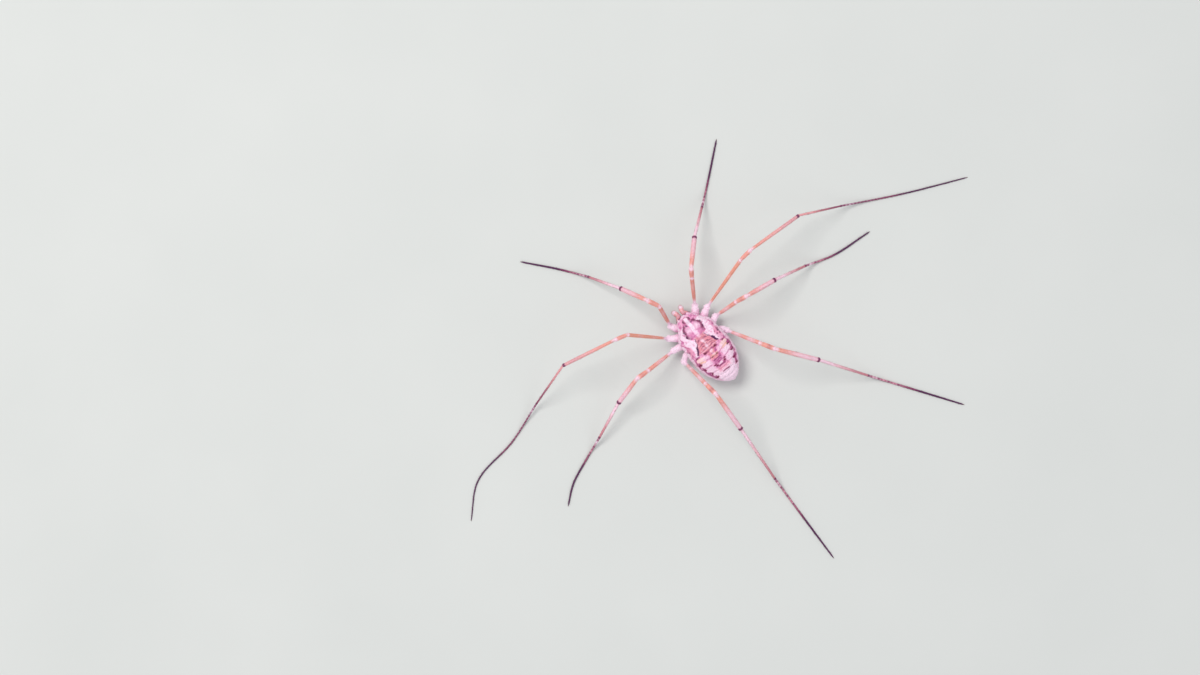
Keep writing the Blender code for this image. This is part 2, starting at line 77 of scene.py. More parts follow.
PLEAT_LENGTH = 0.17  # of the soft side's folds, along the body
PLEAT_HEIGHT = 0.02
MARGIN_DEPTH = 0.035  # of the line between the plates and the soft side
LUMP_HEIGHT = 0.01
CARAPACE_GROOVE = ((0.36, 2.02), (0.62, 1.72), (1.12, 1.42))  # (right, forward), on each side
GROOVE_DEPTH, GROOVE_REACH = 0.03, 0.06
REAR_CAP = ((0.86, -0.03), (0.6, -0.055), (0.3, -0.07))  # (share of the last section, forward from it)
FRONT_CAP = ((0.98, 0.035), (0.93, 0.065), (0.84, 0.09), (0.7, 0.1), (0.45, 0.105), (0.2, 0.105))
TRUNK_STATIONS, REAR_STATIONS = 208, 14
TRUNK_SIDES = 180


def placed(points):
    """Scene places in metres from (right, forward, up) in millimetres: both level axes are turned round."""
    right, forward, up = np.moveaxis(np.asarray(points, float), -1, 0)
    return np.stack([FOOTPRINT_MIDDLE[0] - right, FOOTPRINT_MIDDLE[1] - forward, up], axis=-1) * MM


def smooth(stations, wanted):
    """Values at the wanted places on a smooth cubic curve through (place, value) stations."""
    places, values = np.array([s[0] for s in stations]), np.array([s[1] for s in stations], float)
    slopes = np.gradient(values, places, axis=0)
    i = np.clip(np.searchsorted(places, wanted) - 1, 0, len(places) - 2)
    span = places[i + 1] - places[i]
    t = np.clip((wanted - places[i]) / span, 0, 1)
    if values.ndim > 1:
        span, t = span[:, None], t[:, None]
    rise = values[i + 1] - values[i]
    start, end = slopes[i] * span, slopes[i + 1] * span
    return values[i] + t * start + t * t * (3 * rise - 2 * start - end) + t**3 * (start + end - 2 * rise)


def ease(low, high, value):
    """0 up to low and 1 from high on, with a smooth rise between."""
    t = np.clip((value - low) / (high - low), 0, 1)
    return t * t * (3 - 2 * t)


def window(value, opens, closes):
    """1 between two places and 0 beyond, smooth over opens and closes, each given from low to high."""
    return ease(*opens, value) * ease(*closes[::-1], value)


def turns(count):
    """Evenly spread angles, once round."""
    return np.linspace(0, 2 * np.pi, count, endpoint=False)


def ripple(points, wavelength, seed, waves=28):
    """Smooth lumps of about unit height: a sum of sine waves of one length in random directions."""
    chance = np.random.default_rng(seed)
    ways = chance.normal(size=(waves, 3))
    ways *= 2 * np.pi / wavelength / np.linalg.norm(ways, axis=1, keepdims=True)
    phases = chance.uniform(0, 2 * np.pi, waves)
    return sum(np.sin(points @ way + phase) for way, phase in zip(ways, phases)) * math.sqrt(2 / waves)


def bell(value, reach):
    return np.exp(-((value / reach) ** 2))


def line_distance(right, forward, points):
    """How far each place in plan is from a broken line through (right, forward) points."""
    nearest = np.full(np.broadcast(right, forward).shape, np.inf)
    for (r0, f0), (r1, f1) in zip(points, points[1:]):
        across, along = r1 - r0, f1 - f0
        share = ((right - r0) * across + (forward - f0) * along) / (across**2 + along**2)
        share = np.clip(share, 0, 1)
        nearest = np.minimum(nearest, np.hypot(right - r0 - share * across, forward - f0 - share * along))
    return nearest


def bend(right, forward):
    """How far the abdomen's plates are drawn back at each place: most in the middle, none 1 mm out."""
    bowed = 1 - np.sqrt(right**2 + BEND_ROUND)
    return FURROW_BEND * bowed * window(forward, (-4.1, -3.3), (-1.2, -0.6))


def trunk(forward, turn):
    """Points of the trunk's surface, in millimetres, from a place along the midline and a turn round it.

    Right is half-width * |cos|^0.8, and up leaves the flank's height towards the back or the belly by
    |sin|^0.9. A bell curve sinks each furrow and a second one ahead of it lifts the plate's rear edge,
    both fading out below the back. A sine along the body pleats the soft sides.
    """
    forward, turn = np.broadcast_arrays(np.asarray(forward, float), np.asarray(turn, float))
    half, back = smooth(HALF_WIDTHS, forward), smooth(BACKS, forward)
    belly, flank = smooth(BELLIES, forward), smooth(FLANKS, forward)
    cosine, sine = np.cos(turn), np.sin(turn)
    outward = np.sign(cosine) * np.abs(cosine) ** FLANK_ROUNDNESS
    upward = np.sign(sine) * np.abs(sine) ** BACK_ROUNDNESS
    height = np.where(sine > 0, back - flank, flank - belly)
    plain = np.stack([half * outward, forward, flank + height * upward], axis=-1)
    wave = FURROW_WAVE * np.sin(3 * plain[..., 0] + 2 * forward)
    behind = (forward + bend(plain[..., 0], forward) - wave)[..., None] - FURROWS
    furrow = (FURROW_DEPTHS * bell(behind, FURROW_REACH)).sum(axis=-1)
    rim = bell(behind - RIM_SET_AHEAD, 1.6 * FURROW_REACH).sum(axis=-1)
    over_back = np.clip(0.35 + sine, 0, 1)
    margin = bell(sine - 0.3, 0.07) * window(forward, (-3.7, -3.2), (0.9, 1.3))
    side = window(sine, (-0.6, -0.3), (0.1, 0.22)) * ease(-3.9, -3.4, forward)
    pleat = np.sin(2 * np.pi * forward / PLEAT_LENGTH + 2 * np.sin(9 * sine))
    groove = bell(line_distance(np.abs(plain[..., 0]), forward, CARAPACE_GROOVE), GROOVE_REACH)
    out = RIM_HEIGHT * rim * over_back - furrow * over_back
    out = out - MARGIN_DEPTH * margin + PLEAT_HEIGHT * pleat * side
    out = out - GROOVE_DEPTH * groove * (sine > 0)
    out = out + LUMP_HEIGHT * ripple(plain, 0.55, 1) + LUMP_HEIGHT / 2 * ripple(plain, 0.2, 2)
    shown = out * ease(-4.2, -3.9, forward)
    way = np.stack([cosine, np.zeros_like(cosine), sine], axis=-1)
    return plain + shown[..., None] * way


def shrunk(ring, share, ahead):
    middle = ring.mean(axis=0)
    return middle + (ring - middle) * share + np.array((0, ahead, 0))


def capped(rings, start_cap, end_cap):
    """The rings with shrunken copies of the first and last beyond them, which round off the ends."""
    before = [shrunk(rings[0], *step) for step in reversed(start_cap)]
    after = [shrunk(rings[-1], *step) for step in end_cap]
    return np.stack([*before, *rings, *after])


along_trunk = np.concatenate([
    np.linspace(REAR, REAR_FINE, REAR_STATIONS, endpoint=False),
    np.linspace(REAR_FINE, FRONT, TRUNK_STATIONS - REAR_STATIONS),
])
around_trunk = turns(TRUNK_SIDES)
trunk_rings = capped(trunk(along_trunk[:, None], around_trunk[None, :]), REAR_CAP, FRONT_CAP)

# The markings of the trunk
# A dark saddle runs down the back, waisted at the joint of prosoma and abdomen and edged in purple-black,
# between milky bands. Behind it the plates end in pale lobes, each with a dark mark at its outer end.
MASKS = ("saddle", "tan", "flank", "peach", "leg", "rose", "dusk", "milk", "bark", "border")
SADDLE = (
    (-0.62, 1.14), (-0.54, 1.1), (-0.36, 1.0), (-0.2, 0.92), (0.08, 0.76), (0.27, 0.61), (0.42, 0.55),
    (0.6, 0.55), (0.77, 0.72), (0.97, 0.86), (1.25, 0.94), (1.6, 0.95), (1.9, 0.84), (2.1, 0.64), (2.3, 0.3),
)
MIDDLE = ((-1.7, 0.46), (-1.5, 0.42), (-1.2, 0.42), (-0.95, 0.52), (-0.7, 0.74))
BLOCK = ((-2.55, 0.26), (-2.48, 0.34), (-2.3, 0.5), (-2.14, 0.62), (-2.04, 0.5), (-1.9, 0.45), (-1.72, 0.44))
BAND = (
    (-0.72, 1.36), (-0.55, 1.42), (-0.3, 1.34), (-0.1, 1.26), (0.1, 1.24), (0.3, 1.3), (0.6, 1.42),
    (1.0, 1.44), (1.5, 1.42), (1.9, 1.26), (2.2, 0.86),
)
LOBES = ((-3.3, 0.85), (-2.85, 1.12), (-2.3, 1.37), (-1.68, 1.52), (-1.08, 1.57), (-0.7, 1.48))
LOBE_NOTCH = 0.16  # how far the dark spot at each furrow cuts in between the lobes' ends
UPPER_NECK = ((0.52, 0.66), (0.54, 0.42), (0.6, 0.27))
LOWER_NECK = ((0.64, 0.22), (0.77, 0.07), (0.92, -0.2), (1.0, -0.36), (1.1, -0.55))
DARK_RING = (
    (0.7, 0.25), (1.0, 0.5), (1.15, 0.88), (1.3, 0.92), (1.46, 0.6), (1.66, 0.95), (1.84, 0.72), (2.0, 0.92),
    (2.12, 0.85), (2.25, 0.6),
)
BORDER_SPOTS = (  # right, forward, half across, half along, on each side
    (0.93, 1.69, 0.05, 0.08), (0.9, 1.22, 0.06, 0.12), (0.29, 2.07, 0.12, 0.06),
    (1.62, 0.06, 0.04, 0.07),
)
BARK_SPOTS = (
    (0.55, -0.82, 0.14, 0.09), (1.38, -0.8, 0.15, 0.06), (0.54, -2.17, 0.14, 0.07), (0.39, -2.33, 0.13, 0.09),
    (1.56, -1.4, 0.18, 0.08), (1.47, -2.0, 0.14, 0.07), (1.22, -2.64, 0.15, 0.07),
    # The last spot, at the front edge before the palps, is partly the front margin's own red-brown and partly
    # painted shade under the front of the back
    (1.07, -3.12, 0.11, 0.07), (0.26, -1.5, 0.09, 0.05), (0.36, 2.99, 0.24, 0.06),
)
CROSS_LINES = (  # straight dark lines over the back: forward, half across, half along, strength
    (-1.79, 0.46, 0.055, 0.85), (-1.95, 0.42, 0.04, 0.6), (-2.13, 0.5, 0.04, 0.55), (-2.46, 0.36, 0.07, 0.85),
    (-3.05, 0.4, 0.07, 0.95), (-0.82, 0.56, 0.05, 0.6), (-1.18, 0.4, 0.03, 0.4), (-1.46, 0.3, 0.05, 0.55),
)
NECK_ARCH = 0.35  # how much further back a cross line of the neck lies for each square millimetre out
DUSK_SPOTS = (
    (0.0, 0.36, 0.5, 0.09, 0.45), (0.3, 0.36, 0.18, 0.1, 0.62), (0.0, 0.02, 0.6, 0.08, 0.48),
    (0.4, 0.02, 0.16, 0.08, 0.6), (0.0, -0.26, 0.8, 0.07, 0.5), (0.4, -0.26, 0.26, 0.08, 0.62),
    (0.0, -0.5, 0.9, 0.07, 0.48), (0.5, -0.5, 0.35, 0.07, 0.62), (0.0, -0.74, 1.2, 0.05, 0.36),
    (0.55, -0.84, 0.24, 0.12, 0.7), (0.3, -1.44, 0.22, 0.06, 0.6),
    (0.95, -1.4, 0.45, 0.03, 0.45), (0.98, -2.0, 0.4, 0.03, 0.4), (0.85, -2.6, 0.35, 0.03, 0.35),
    (0.33, -1.12, 0.1, 0.07, 0.4), (0.3, 0.05, 0.16, 0.08, 0.3), (0.36, 0.62, 0.2, 0.08, 0.35),
    (1.63, 0.08, 0.1, 0.14, 0.4), (1.66, 1.1, 0.07, 0.12, 0.3), (1.46, 1.66, 0.08, 0.08, 0.3),
    (0.34, 2.1, 0.16, 0.08, 0.5), (0.62, 2.0, 0.2, 0.08, 0.5), (0.52, 0.88, 0.2, 0.16, 0.25),
    # The last, at the front edge before the palps, is partly the front margin's own colour and partly painted
    # shade under the front of the back
    (1.12, -3.1, 0.16, 0.12, 0.4), (0.36, 2.97, 0.32, 0.12, 0.6),
)
MILK_SPOTS = (
    (0.0, -2.27, 0.22, 0.1, 0.7), (0.4, 0.45, 0.14, 0.14, 0.25),
    (1.83, -0.67, 0.1, 0.12, 0.9), (1.78, -1.0, 0.08, 0.08, 0.7), (1.74, -1.75, 0.07, 0.1, 0.7),
)
MEDIAN = (  # the pale line down the middle: (forward, (half-width, strength))
    (-1.62, (0.06, 0.0)), (-1.45, (0.1, 0.35)), (-1.3, (0.15, 0.6)), (-1.1, (0.1, 0.35)),
    (-0.9, (0.15, 0.72)), (-0.68, (0.08, 0.2)), (-0.42, (0.14, 0.62)), (-0.15, (0.11, 0.45)),
    (0.14, (0.13, 0.62)), (0.4, (0.1, 0.35)), (0.7, (0.13, 0.5)), (1.0, (0.17, 0.62)),
    (1.3, (0.18, 0.8)), (1.65, (0.18, 0.95)), (2.0, (0.17, 0.9)), (2.2, (0.16, 0.6)),
)
CIRCLE_PALE = (0.4, 1.58, 0.38, 0.42, 0.6)  # right, forward, reach across, reach along, strength
LOW_MARKS = {"milk": 0.55, "rose": 0.1}  # below the flanks
CUT_RAMP = 0.12  # a crisp mark rises from 0 to 1 over twice this, and the shader cuts it at a half


def cut(beyond):
    """A crisp mark from how far a place lies beyond its edge: 0.5 on the edge and 1 well inside."""
    return np.clip(0.5 - beyond / (2 * CUT_RAMP), 0, 1)


def oval_distance(right, forward, spot):
    """About how far a place lies beyond the edge of an oval, negative inside it."""
    across, along, half_across, half_along = spot[:4]
    away = np.hypot((np.abs(right) - across) / half_across, (forward - along) / half_along)
    return (away - 1) * min(half_across, half_along)


def soft_spots(right, forward, table):
    """The strongest of a table of soft-edged ovals at each place."""
    found = [spot[4] * ease(0.05, -0.04, oval_distance(right, forward, spot)) for spot in table]
    return np.max(found, axis=0)


def crisp_spots(right, forward, table):
    """The strongest of a table of crisp ovals at each place."""
    return np.max([cut(oval_distance(right, forward, spot)) for spot in table], axis=0)


def cross_lines(right, forward):
    """Soft straight lines over the back, each a bell along the body that fades at its ends."""
    found = []
    for at, half_across, half_along, strength in CROSS_LINES:
        ends = ease(half_across + 0.04, half_across - 0.08, np.abs(right))
        found.append(strength * bell(forward - at, half_along) * ends)
    return np.max(found, axis=0)


def trunk_marks(points):
    """The strength of each of MASKS at points on the trunk, mostly from their place in plan.

    Every edge is a half-width along the midline, shaken by noise. What lies below the flanks is left
    pale with faint marks.
    """
    right, forward, up = np.moveaxis(points, -1, 0)
    lines = cross_lines(right, forward + 0.02 * ripple(points, 0.7, 16))
    right = right + 0.03 * ripple(points, 0.6, 11) + 0.014 * ripple(points, 0.2, 12)
    forward = forward + 0.022 * ripple(points, 0.5, 13) + 0.012 * ripple(points, 0.2, 14)
    away = np.abs(right)
    half = smooth(HALF_WIDTHS, np.clip(forward, REAR, FRONT))
    flank, back = smooth(FLANKS, forward), smooth(BACKS, forward)
    top = ease(-0.05, 0.12, (up - flank) / (back - flank))
    blotch = ripple(points, 0.3, 15)

    inside = np.maximum.reduce([away - smooth(SADDLE, forward), -0.63 - forward, forward - 2.3])
    saddle = cut(inside)
    on_saddle = ease(0.03, -0.05, inside)
    middle = ease(0.1, -0.06, away - smooth(MIDDLE, forward))
    middle = middle * window(forward, (-1.78, -1.68), (-0.66, -0.56))
    block = ease(0.05, -0.03, away - smooth(BLOCK, forward))
    block = block * window(forward, (-2.58, -2.5), (-1.74, -1.66))

    slanted = forward + bend(right, forward)
    crease = bell(slanted[..., None] - FURROWS, 0.075).sum(axis=-1)
    notch = LOBE_NOTCH * bell(slanted[..., None] - FURROWS, 0.13).sum(axis=-1)
    lobe_end = smooth(LOBES, forward) + 0.3 * LOBE_NOTCH - notch
    lobe = ease(0.04, -0.04, away - lobe_end) * ease(0.0, 0.3, away - smooth(MIDDLE, forward) + 0.05)
    lobe = lobe * ease(-0.72, -0.92, forward + 0.2 * (1.45 - away)) * (1 - block)
    tip = ease(-2.5, -2.75, forward) * ease(0.05, -0.08, away - smooth(LOBES, np.maximum(forward, -3.3)))
    tip = np.maximum(tip, ease(-3.1, -3.3, forward) * ease(0.93, 0.8, away / half))
    first = window(forward, (-1.55, -1.25), (-0.8, -0.66))
    outer = first * ease(0.5, 1.2, away + 0.1 * blotch)
    peach = 0.75 * lobe * outer + lobe * first * 0.5 * crease + 0.7 * middle * bell(forward + 1.42, 0.12)
    white = np.maximum(0.8 * lobe, tip * ease(-2.5, -3.25, forward))
    # Painted shade in the furrows between the plates: the lobes' white thins there
    white = white * (0.92 - 0.5 * crease * (1 - tip)) * (1 - 0.3 * outer)
    white = white * (1 - 0.25 * ease(1.05, 0.7, away) * (1 - tip))

    band = ease(0.07, -0.07, away - smooth(BAND, forward)) * window(forward, (-0.72, -0.6), (2.0, 2.2))
    band = band * (1 - on_saddle) * np.clip(0.85 + 0.24 * blotch, 0, 1)
    rim = ease(0.88, 0.94, away / half)
    chain = ease(-0.04, 0.05, away - lobe_end) * ease(0.3, 0.14, away - smooth(LOBES, forward))
    chain = chain * window(forward, (-3.4, -2.9), (-1.2, -0.62)) * np.clip(0.86 + 0.2 * blotch, 0, 1)
    side = (1 - band) * (1 - on_saddle) * (1 - np.maximum(lobe, tip)) * (1 - rim)
    ring = 1.25 * bell(away - smooth(SADDLE, forward) + 0.1, 0.19)
    ring = ring * smooth(DARK_RING, np.clip(forward, 0.7, 2.25)) * window(forward, (0.7, 0.85), (2.18, 2.28))
    necks = np.minimum(
        line_distance(away, forward, UPPER_NECK) - 0.035,
        line_distance(away, forward, LOWER_NECK) - 0.045 - 0.035 * ease(0.2, -0.3, forward),
    )
    stripe = smooth(MEDIAN, np.clip(forward, -1.62, 2.2).ravel()).reshape(*forward.shape, 2)
    median = stripe[..., 1] * ease(0.07, -0.05, away - stripe[..., 0]) * ease(-1.66, -1.5, forward)
    across, along, reach_across, reach_along, strength = CIRCLE_PALE
    pale = strength * bell(np.hypot((away - across) / reach_across, (forward - along) / reach_along), 0.9)
    pale = np.maximum(pale, 0.34 * ease(0.1, 1.2, blotch)) * on_saddle
    rear = window(forward, (-3.2, -2.95), (-2.65, -2.45)) * ease(0.9, 0.7, away)
    front = (0.5 + 0.2 * blotch) * ease(2.5, 2.75, forward) * ease(0.9, 0.5, away)
    edges = np.maximum((0.8 + 0.2 * blotch) * rim, front)
    low_side = side * bell(forward + 0.05, 0.5) * ease(-0.6, 0.6, blotch)
    arched = forward + NECK_ARCH * right**2 * window(forward, (-0.66, -0.5), (0.6, 0.75))
    mottled = 0.36 * on_saddle * ease(0.1, -1.1, blotch)
    flank_marks = 0.95 * chain + side * (0.24 + 0.28 * blotch) + 0.36 * block + mottled
    # Painted shade: mauve is laid over the lobes along the furrows between the plates
    flank_marks = flank_marks + 0.45 * lobe * crease * (1 - tip)
    dusky = [soft_spots(right, arched, DUSK_SPOTS), 0.4 * chain, 1.1 * ring]
    dusky += [0.12 * block, lines, 0.6 * low_side]
    milky = [0.96 * band, soft_spots(right, forward, MILK_SPOTS), white, edges, median, pale]
    marks = {
        "saddle": saddle,
        "tan": np.maximum(on_saddle * ease(0.95, 0.5, forward), 0.9 * middle),
        "flank": np.clip(flank_marks, 0, 1),
        "peach": np.clip(peach, 0, 1),
        "rose": np.clip(0.2 * (1 - on_saddle) + 0.3 * side * bell(forward - 0.1, 0.6) + 0.4 * rear, 0, 1),
        "dusk": np.max(dusky, axis=0),
        "milk": np.max(milky, axis=0) * (1 - 0.95 * lines),
        "bark": crisp_spots(right, forward, BARK_SPOTS),
        "border": np.maximum(cut(necks), crisp_spots(right, forward, BORDER_SPOTS)),
    }
    none = np.zeros_like(away)
    columns = [marks.get(name, none) * top + LOW_MARKS.get(name, 0) * (1 - top) for name in MASKS]
    return np.clip(np.stack(columns, axis=-1), 0, 1)


def shell(rings):
    """Rows and triangles of a closed surface: rings joined side by side, and a fan over each end.

    rings is (ring, side, column), with the place in the first three columns and marks in the others.
    """
    count, sides, columns = rings.shape
    rows = np.vstack([rings.reshape(-1, columns), rings[0].mean(axis=0), rings[-1].mean(axis=0)])
    i, k = (grid.ravel() for grid in np.meshgrid(np.arange(count - 1), np.arange(sides), indexing="ij"))
    n = (k + 1) % sides
    a, b, c, d = i * sides + k, i * sides + n, (i + 1) * sides + n, (i + 1) * sides + k
    k = np.arange(sides)
    n, last, first_pole, last_pole = (k + 1) % sides, (count - 1) * sides, count * sides, count * sides + 1
    faces = np.vstack([
        np.stack([a, b, c], axis=1),
        np.stack([a, c, d], axis=1),
        np.stack([np.full(sides, first_pole), n, k], axis=1),
        np.stack([np.full(sides, last_pole), last + k, last + n], axis=1),
    ])
    corners = rows[faces][..., :3]
    inside_out = np.einsum("ij,ij->i", corners[:, 0], np.cross(corners[:, 1], corners[:, 2])).sum() < 0
    return rows, faces[:, ::-1] if inside_out else faces


def new_object(name, places, faces):
    """A mesh object in the scene, from places in the animal's plan."""
    mesh = bpy.data.meshes.new(name)
    mesh.from_pydata(placed(places).tolist(), [], faces.tolist())
    mesh.update()
    made = bpy.data.objects.new(name, mesh)
    bpy.context.scene.collection.objects.link(made)
    return made


def set_floats(mesh, name, values):
    """Stores one float for each point of the mesh, in an attribute of that name."""
    layer = mesh.attributes.get(name) or mesh.attributes.new(name, "FLOAT", "POINT")
    layer.data.foreach_set("value", np.ascontiguousarray(values, np.float32))


def set_marks(mesh, marks):
    """Stores each column of marks under its name in MASKS."""
    for name, values in zip(MASKS, marks.T):
        set_floats(mesh, name, values)


def flesh(name, rings, marks):
    """A closed piece of the skin, with its marks, before the pieces are joined."""
    rows, faces = shell(np.concatenate([rings, marks], axis=-1))
    made = new_object(name, rows[:, :3], faces)
    set_marks(made.data, np.clip(rows[:, 3:], 0, 1))
    return made


skin = flesh("skin", trunk_rings, trunk_marks(trunk_rings))
pieces = []

# The eye mound
# A round turret on the front of the back carries both eyes, looking to the sides. A shallow groove runs
# over its top between two rows of denticles, and its foot flares into the plate.
MOUND_CENTRE = (0.0, 2.42, 2.6)
MOUND_HALF_SIZES = (0.3, 0.36, 0.47)
MOUND_FLARE = 0.1
MOUND_FLARE_FROM = 0.24  # the height above the back at which the foot begins to spread
MOUND_GROOVE = 0.04
MOUND_RINGS, MOUND_SIDES = 60, 72
EYE_CENTRE = (0.25, 2.47, 2.81)
EYE_RADIUS = 0.12
EYE_RIM = 0.035
EYE_BROW = 1.3  # how much higher the rim stands over the eye than under it


def back_height(right, forward):
    """The height of the trunk's plain upper surface at a place in plan, from the formula of trunk()."""
    inward = np.clip(np.abs(right) / smooth(HALF_WIDTHS, forward), 0, 1)
    sine = np.sqrt(1 - inward ** (2 / FLANK_ROUNDNESS))
    flank = smooth(FLANKS, forward)
    return flank + (smooth(BACKS, forward) - flank) * sine**BACK_ROUNDNESS


def mound(level, turn):
    """Points of the mound: an ellipsoid from foot (level -1) to top (1), grooved above.

    Its foot spreads out at the sides and behind where it nears the back, and a ring of bell-shaped
    height stands round each eye.
    """
    level, turn = np.broadcast_arrays(level, turn)
    wide = np.sqrt(np.clip(1 - level**2, 0, 1))
    way = np.stack([wide * np.cos(turn), wide * np.sin(turn), level], axis=-1)
    points = np.array(MOUND_CENTRE) + way * MOUND_HALF_SIZES
    above = points[..., 2] - back_height(points[..., 0], points[..., 1])
    spread = MOUND_FLARE * (1 - np.clip(above, -0.02, MOUND_FLARE_FROM) / MOUND_FLARE_FROM) ** 2
    spread = spread * (1 - 0.9 * np.clip(np.sin(turn), 0, 1))
    points[..., 0] += spread * np.cos(turn)
    points[..., 1] += spread * np.sin(turn)
    eye = np.array(EYE_CENTRE)
    from_axis = np.hypot(points[..., 1] - eye[1], points[..., 2] - eye[2])
    over_eye = ease(-0.04, 0.1, points[..., 2] - eye[2])
    ring = bell(from_axis - EYE_RADIUS - 0.01, 0.04)
    rim = EYE_RIM * ring * np.abs(np.cos(turn)) * (1 + EYE_BROW * over_eye)
    points[..., 0] += rim * np.sign(points[..., 0])
    points[..., 2] += 0.4 * rim
    points[..., 2] -= MOUND_GROOVE * bell(points[..., 0], 0.06) * ease(0.3, 0.8, level)
    return points + 0.004 * ripple(points, 0.12, 21)[..., None] * way


mound_levels = np.sin(np.linspace(-1.3, 1.5, MOUND_RINGS))
mound_rings = mound(mound_levels[:, None], turns(MOUND_SIDES)[None])
mound_right, mound_forward, mound_up = np.moveaxis(mound_rings, -1, 0)
mound_away = np.abs(mound_right + 0.015 * ripple(mound_rings, 0.2, 22))
on_top = ease(2.7, 2.62, mound_forward + 0.02 * ripple(mound_rings, 0.15, 23)) * ease(2.62, 2.8, mound_up)
from_eye = np.hypot(mound_forward - EYE_CENTRE[1], mound_up - EYE_CENTRE[2])
beside = ease(0.13, 0.21, mound_away)
own_marks = np.zeros((*mound_rings.shape[:2], len(MASKS)))
own_marks[..., MASKS.index("rose")] = 0.35
own_marks[..., MASKS.index("flank")] = (0.35 + 0.5 * bell(from_eye, 0.26)) * beside
own_marks[..., MASKS.index("dusk")] = 0.55 * ease(0.26, 0.15, from_eye) * beside
own_marks[..., MASKS.index("milk")] = 0.95 * ease(0.2, 0.14, mound_away) * on_top
own_share = ease(2.62, 2.84, mound_up + 0.02 * ripple(mound_rings, 0.12, 24))[..., None]
mound_marks = own_marks * own_share + trunk_marks(mound_rings) * (1 - own_share)
pieces.append(flesh("eye mound", mound_rings, mound_marks))

# The legs
# Each leg is a coxa under the body, a round trochanter, an arched femur, a short patella at the knee,
# a tibia, a thin metatarsus, and a long whip of a tarsus that bends in many small joints.
COXA_ROOTS = {1: (0.7, 1.97, 0.86), 2: (0.62, 1.2, 0.95), 3: (0.62, 0.45, 0.95), 4: (0.62, -0.3, 0.95)}
TROCHANTER_RADIUS = 0.29
TROCHANTER_SET_BACK = 0.3
COXA_TALL = 1.3  # a coxa's height to its width, where it lies against the trunk
COXA_RAISED = 0.12
COXA_RINGS, TROCHANTER_RINGS, COXA_SIDES = 22, 17, 28
COXA_GIRTHS = ((0, 0.26), (0.3, 0.33), (0.6, 0.34), (0.85, 0.29), (1, 0.25))  # (share along it, radius)
TROCHANTER_GIRTHS = ((0, 0.8), (0.35, 1.0), (0.6, 0.88), (0.85, 0.62), (1, 0.5))  # shares of its radius
FALSE_JOINTS = (0.42, 0.6, 0.76, 0.88)  # creases of the metatarsus, as shares of its length
LIMB_CAP = np.array((0.97, 0.85, 0.62, 0.32))  # sizes of the rings that round off a limb's ends
BOW, PATELLA_BOW = 0.03, 0.05
TARSUS_LIFT = 0.8
TARSUS_FALL = 0.3
TARSUS_CLEAR = 0.005
SEGMENTS = ("femur", "patella", "tibia", "metatarsus", "tarsus")
GIRTHS = {  # radii of femur, patella, tibia, metatarsus at both ends, tarsus at both ends
    1: (0.185, 0.2, 0.21, 0.14, 0.1, 0.1, 0.065),
    2: (0.165, 0.17, 0.15, 0.1, 0.078, 0.083, 0.05),
    3: (0.18, 0.195, 0.205, 0.14, 0.1, 0.1, 0.065),
    4: (0.185, 0.2, 0.21, 0.145, 0.1, 0.105, 0.065),
}
PROFILES = {  # (share of the segment, share of its radius)
    "femur": ((0, 0.7), (0.1, 0.72), (0.3, 0.85), (0.7, 0.98), (1, 1.0)),
    "patella": ((0, 0.92), (0.5, 1.06), (1, 1.02)),
    "tibia": ((0, 0.86), (0.12, 0.9), (0.4, 1.0), (0.8, 1.0), (1, 0.97)),
    "metatarsus": ((0, 0.95), (0.1, 0.97), (1, 1.0)),
    "tarsus": ((0, 1.05), (0.05, 0.98), (0.5, 1.0), (0.9, 0.95), (0.985, 0.8), (1, 0.6)),
}
END_RIMS = {  # rise of the rim before the far joint, and pinch at the near one, as shares of the radius
    "femur": (0.14, 0.06), "patella": (0.1, 0.12), "tibia": (0.1, 0.14), "metatarsus": (0.24, 0.1),
}
JOINT_STEPS = np.array((0.0, 0.025, 0.05, 0.075, 0.1, 0.13, 0.17, 0.22))  # rings near a segment's ends
RIDGES = {"femur": 0.045, "patella": 0.05, "tibia": 0.04}  # five lengthwise ridges, as a share of the radius
SIDES = {"femur": 20, "patella": 20, "tibia": 20, "metatarsus": 12, "tarsus": 10}
RING_STEP = {"femur": 0.13, "patella": 0.09, "tibia": 0.13, "metatarsus": 0.1, "tarsus": 0.055}
TARSAL_JOINTS = (0.34, 0.17)  # spacing at the foot of the tarsus and at its tip
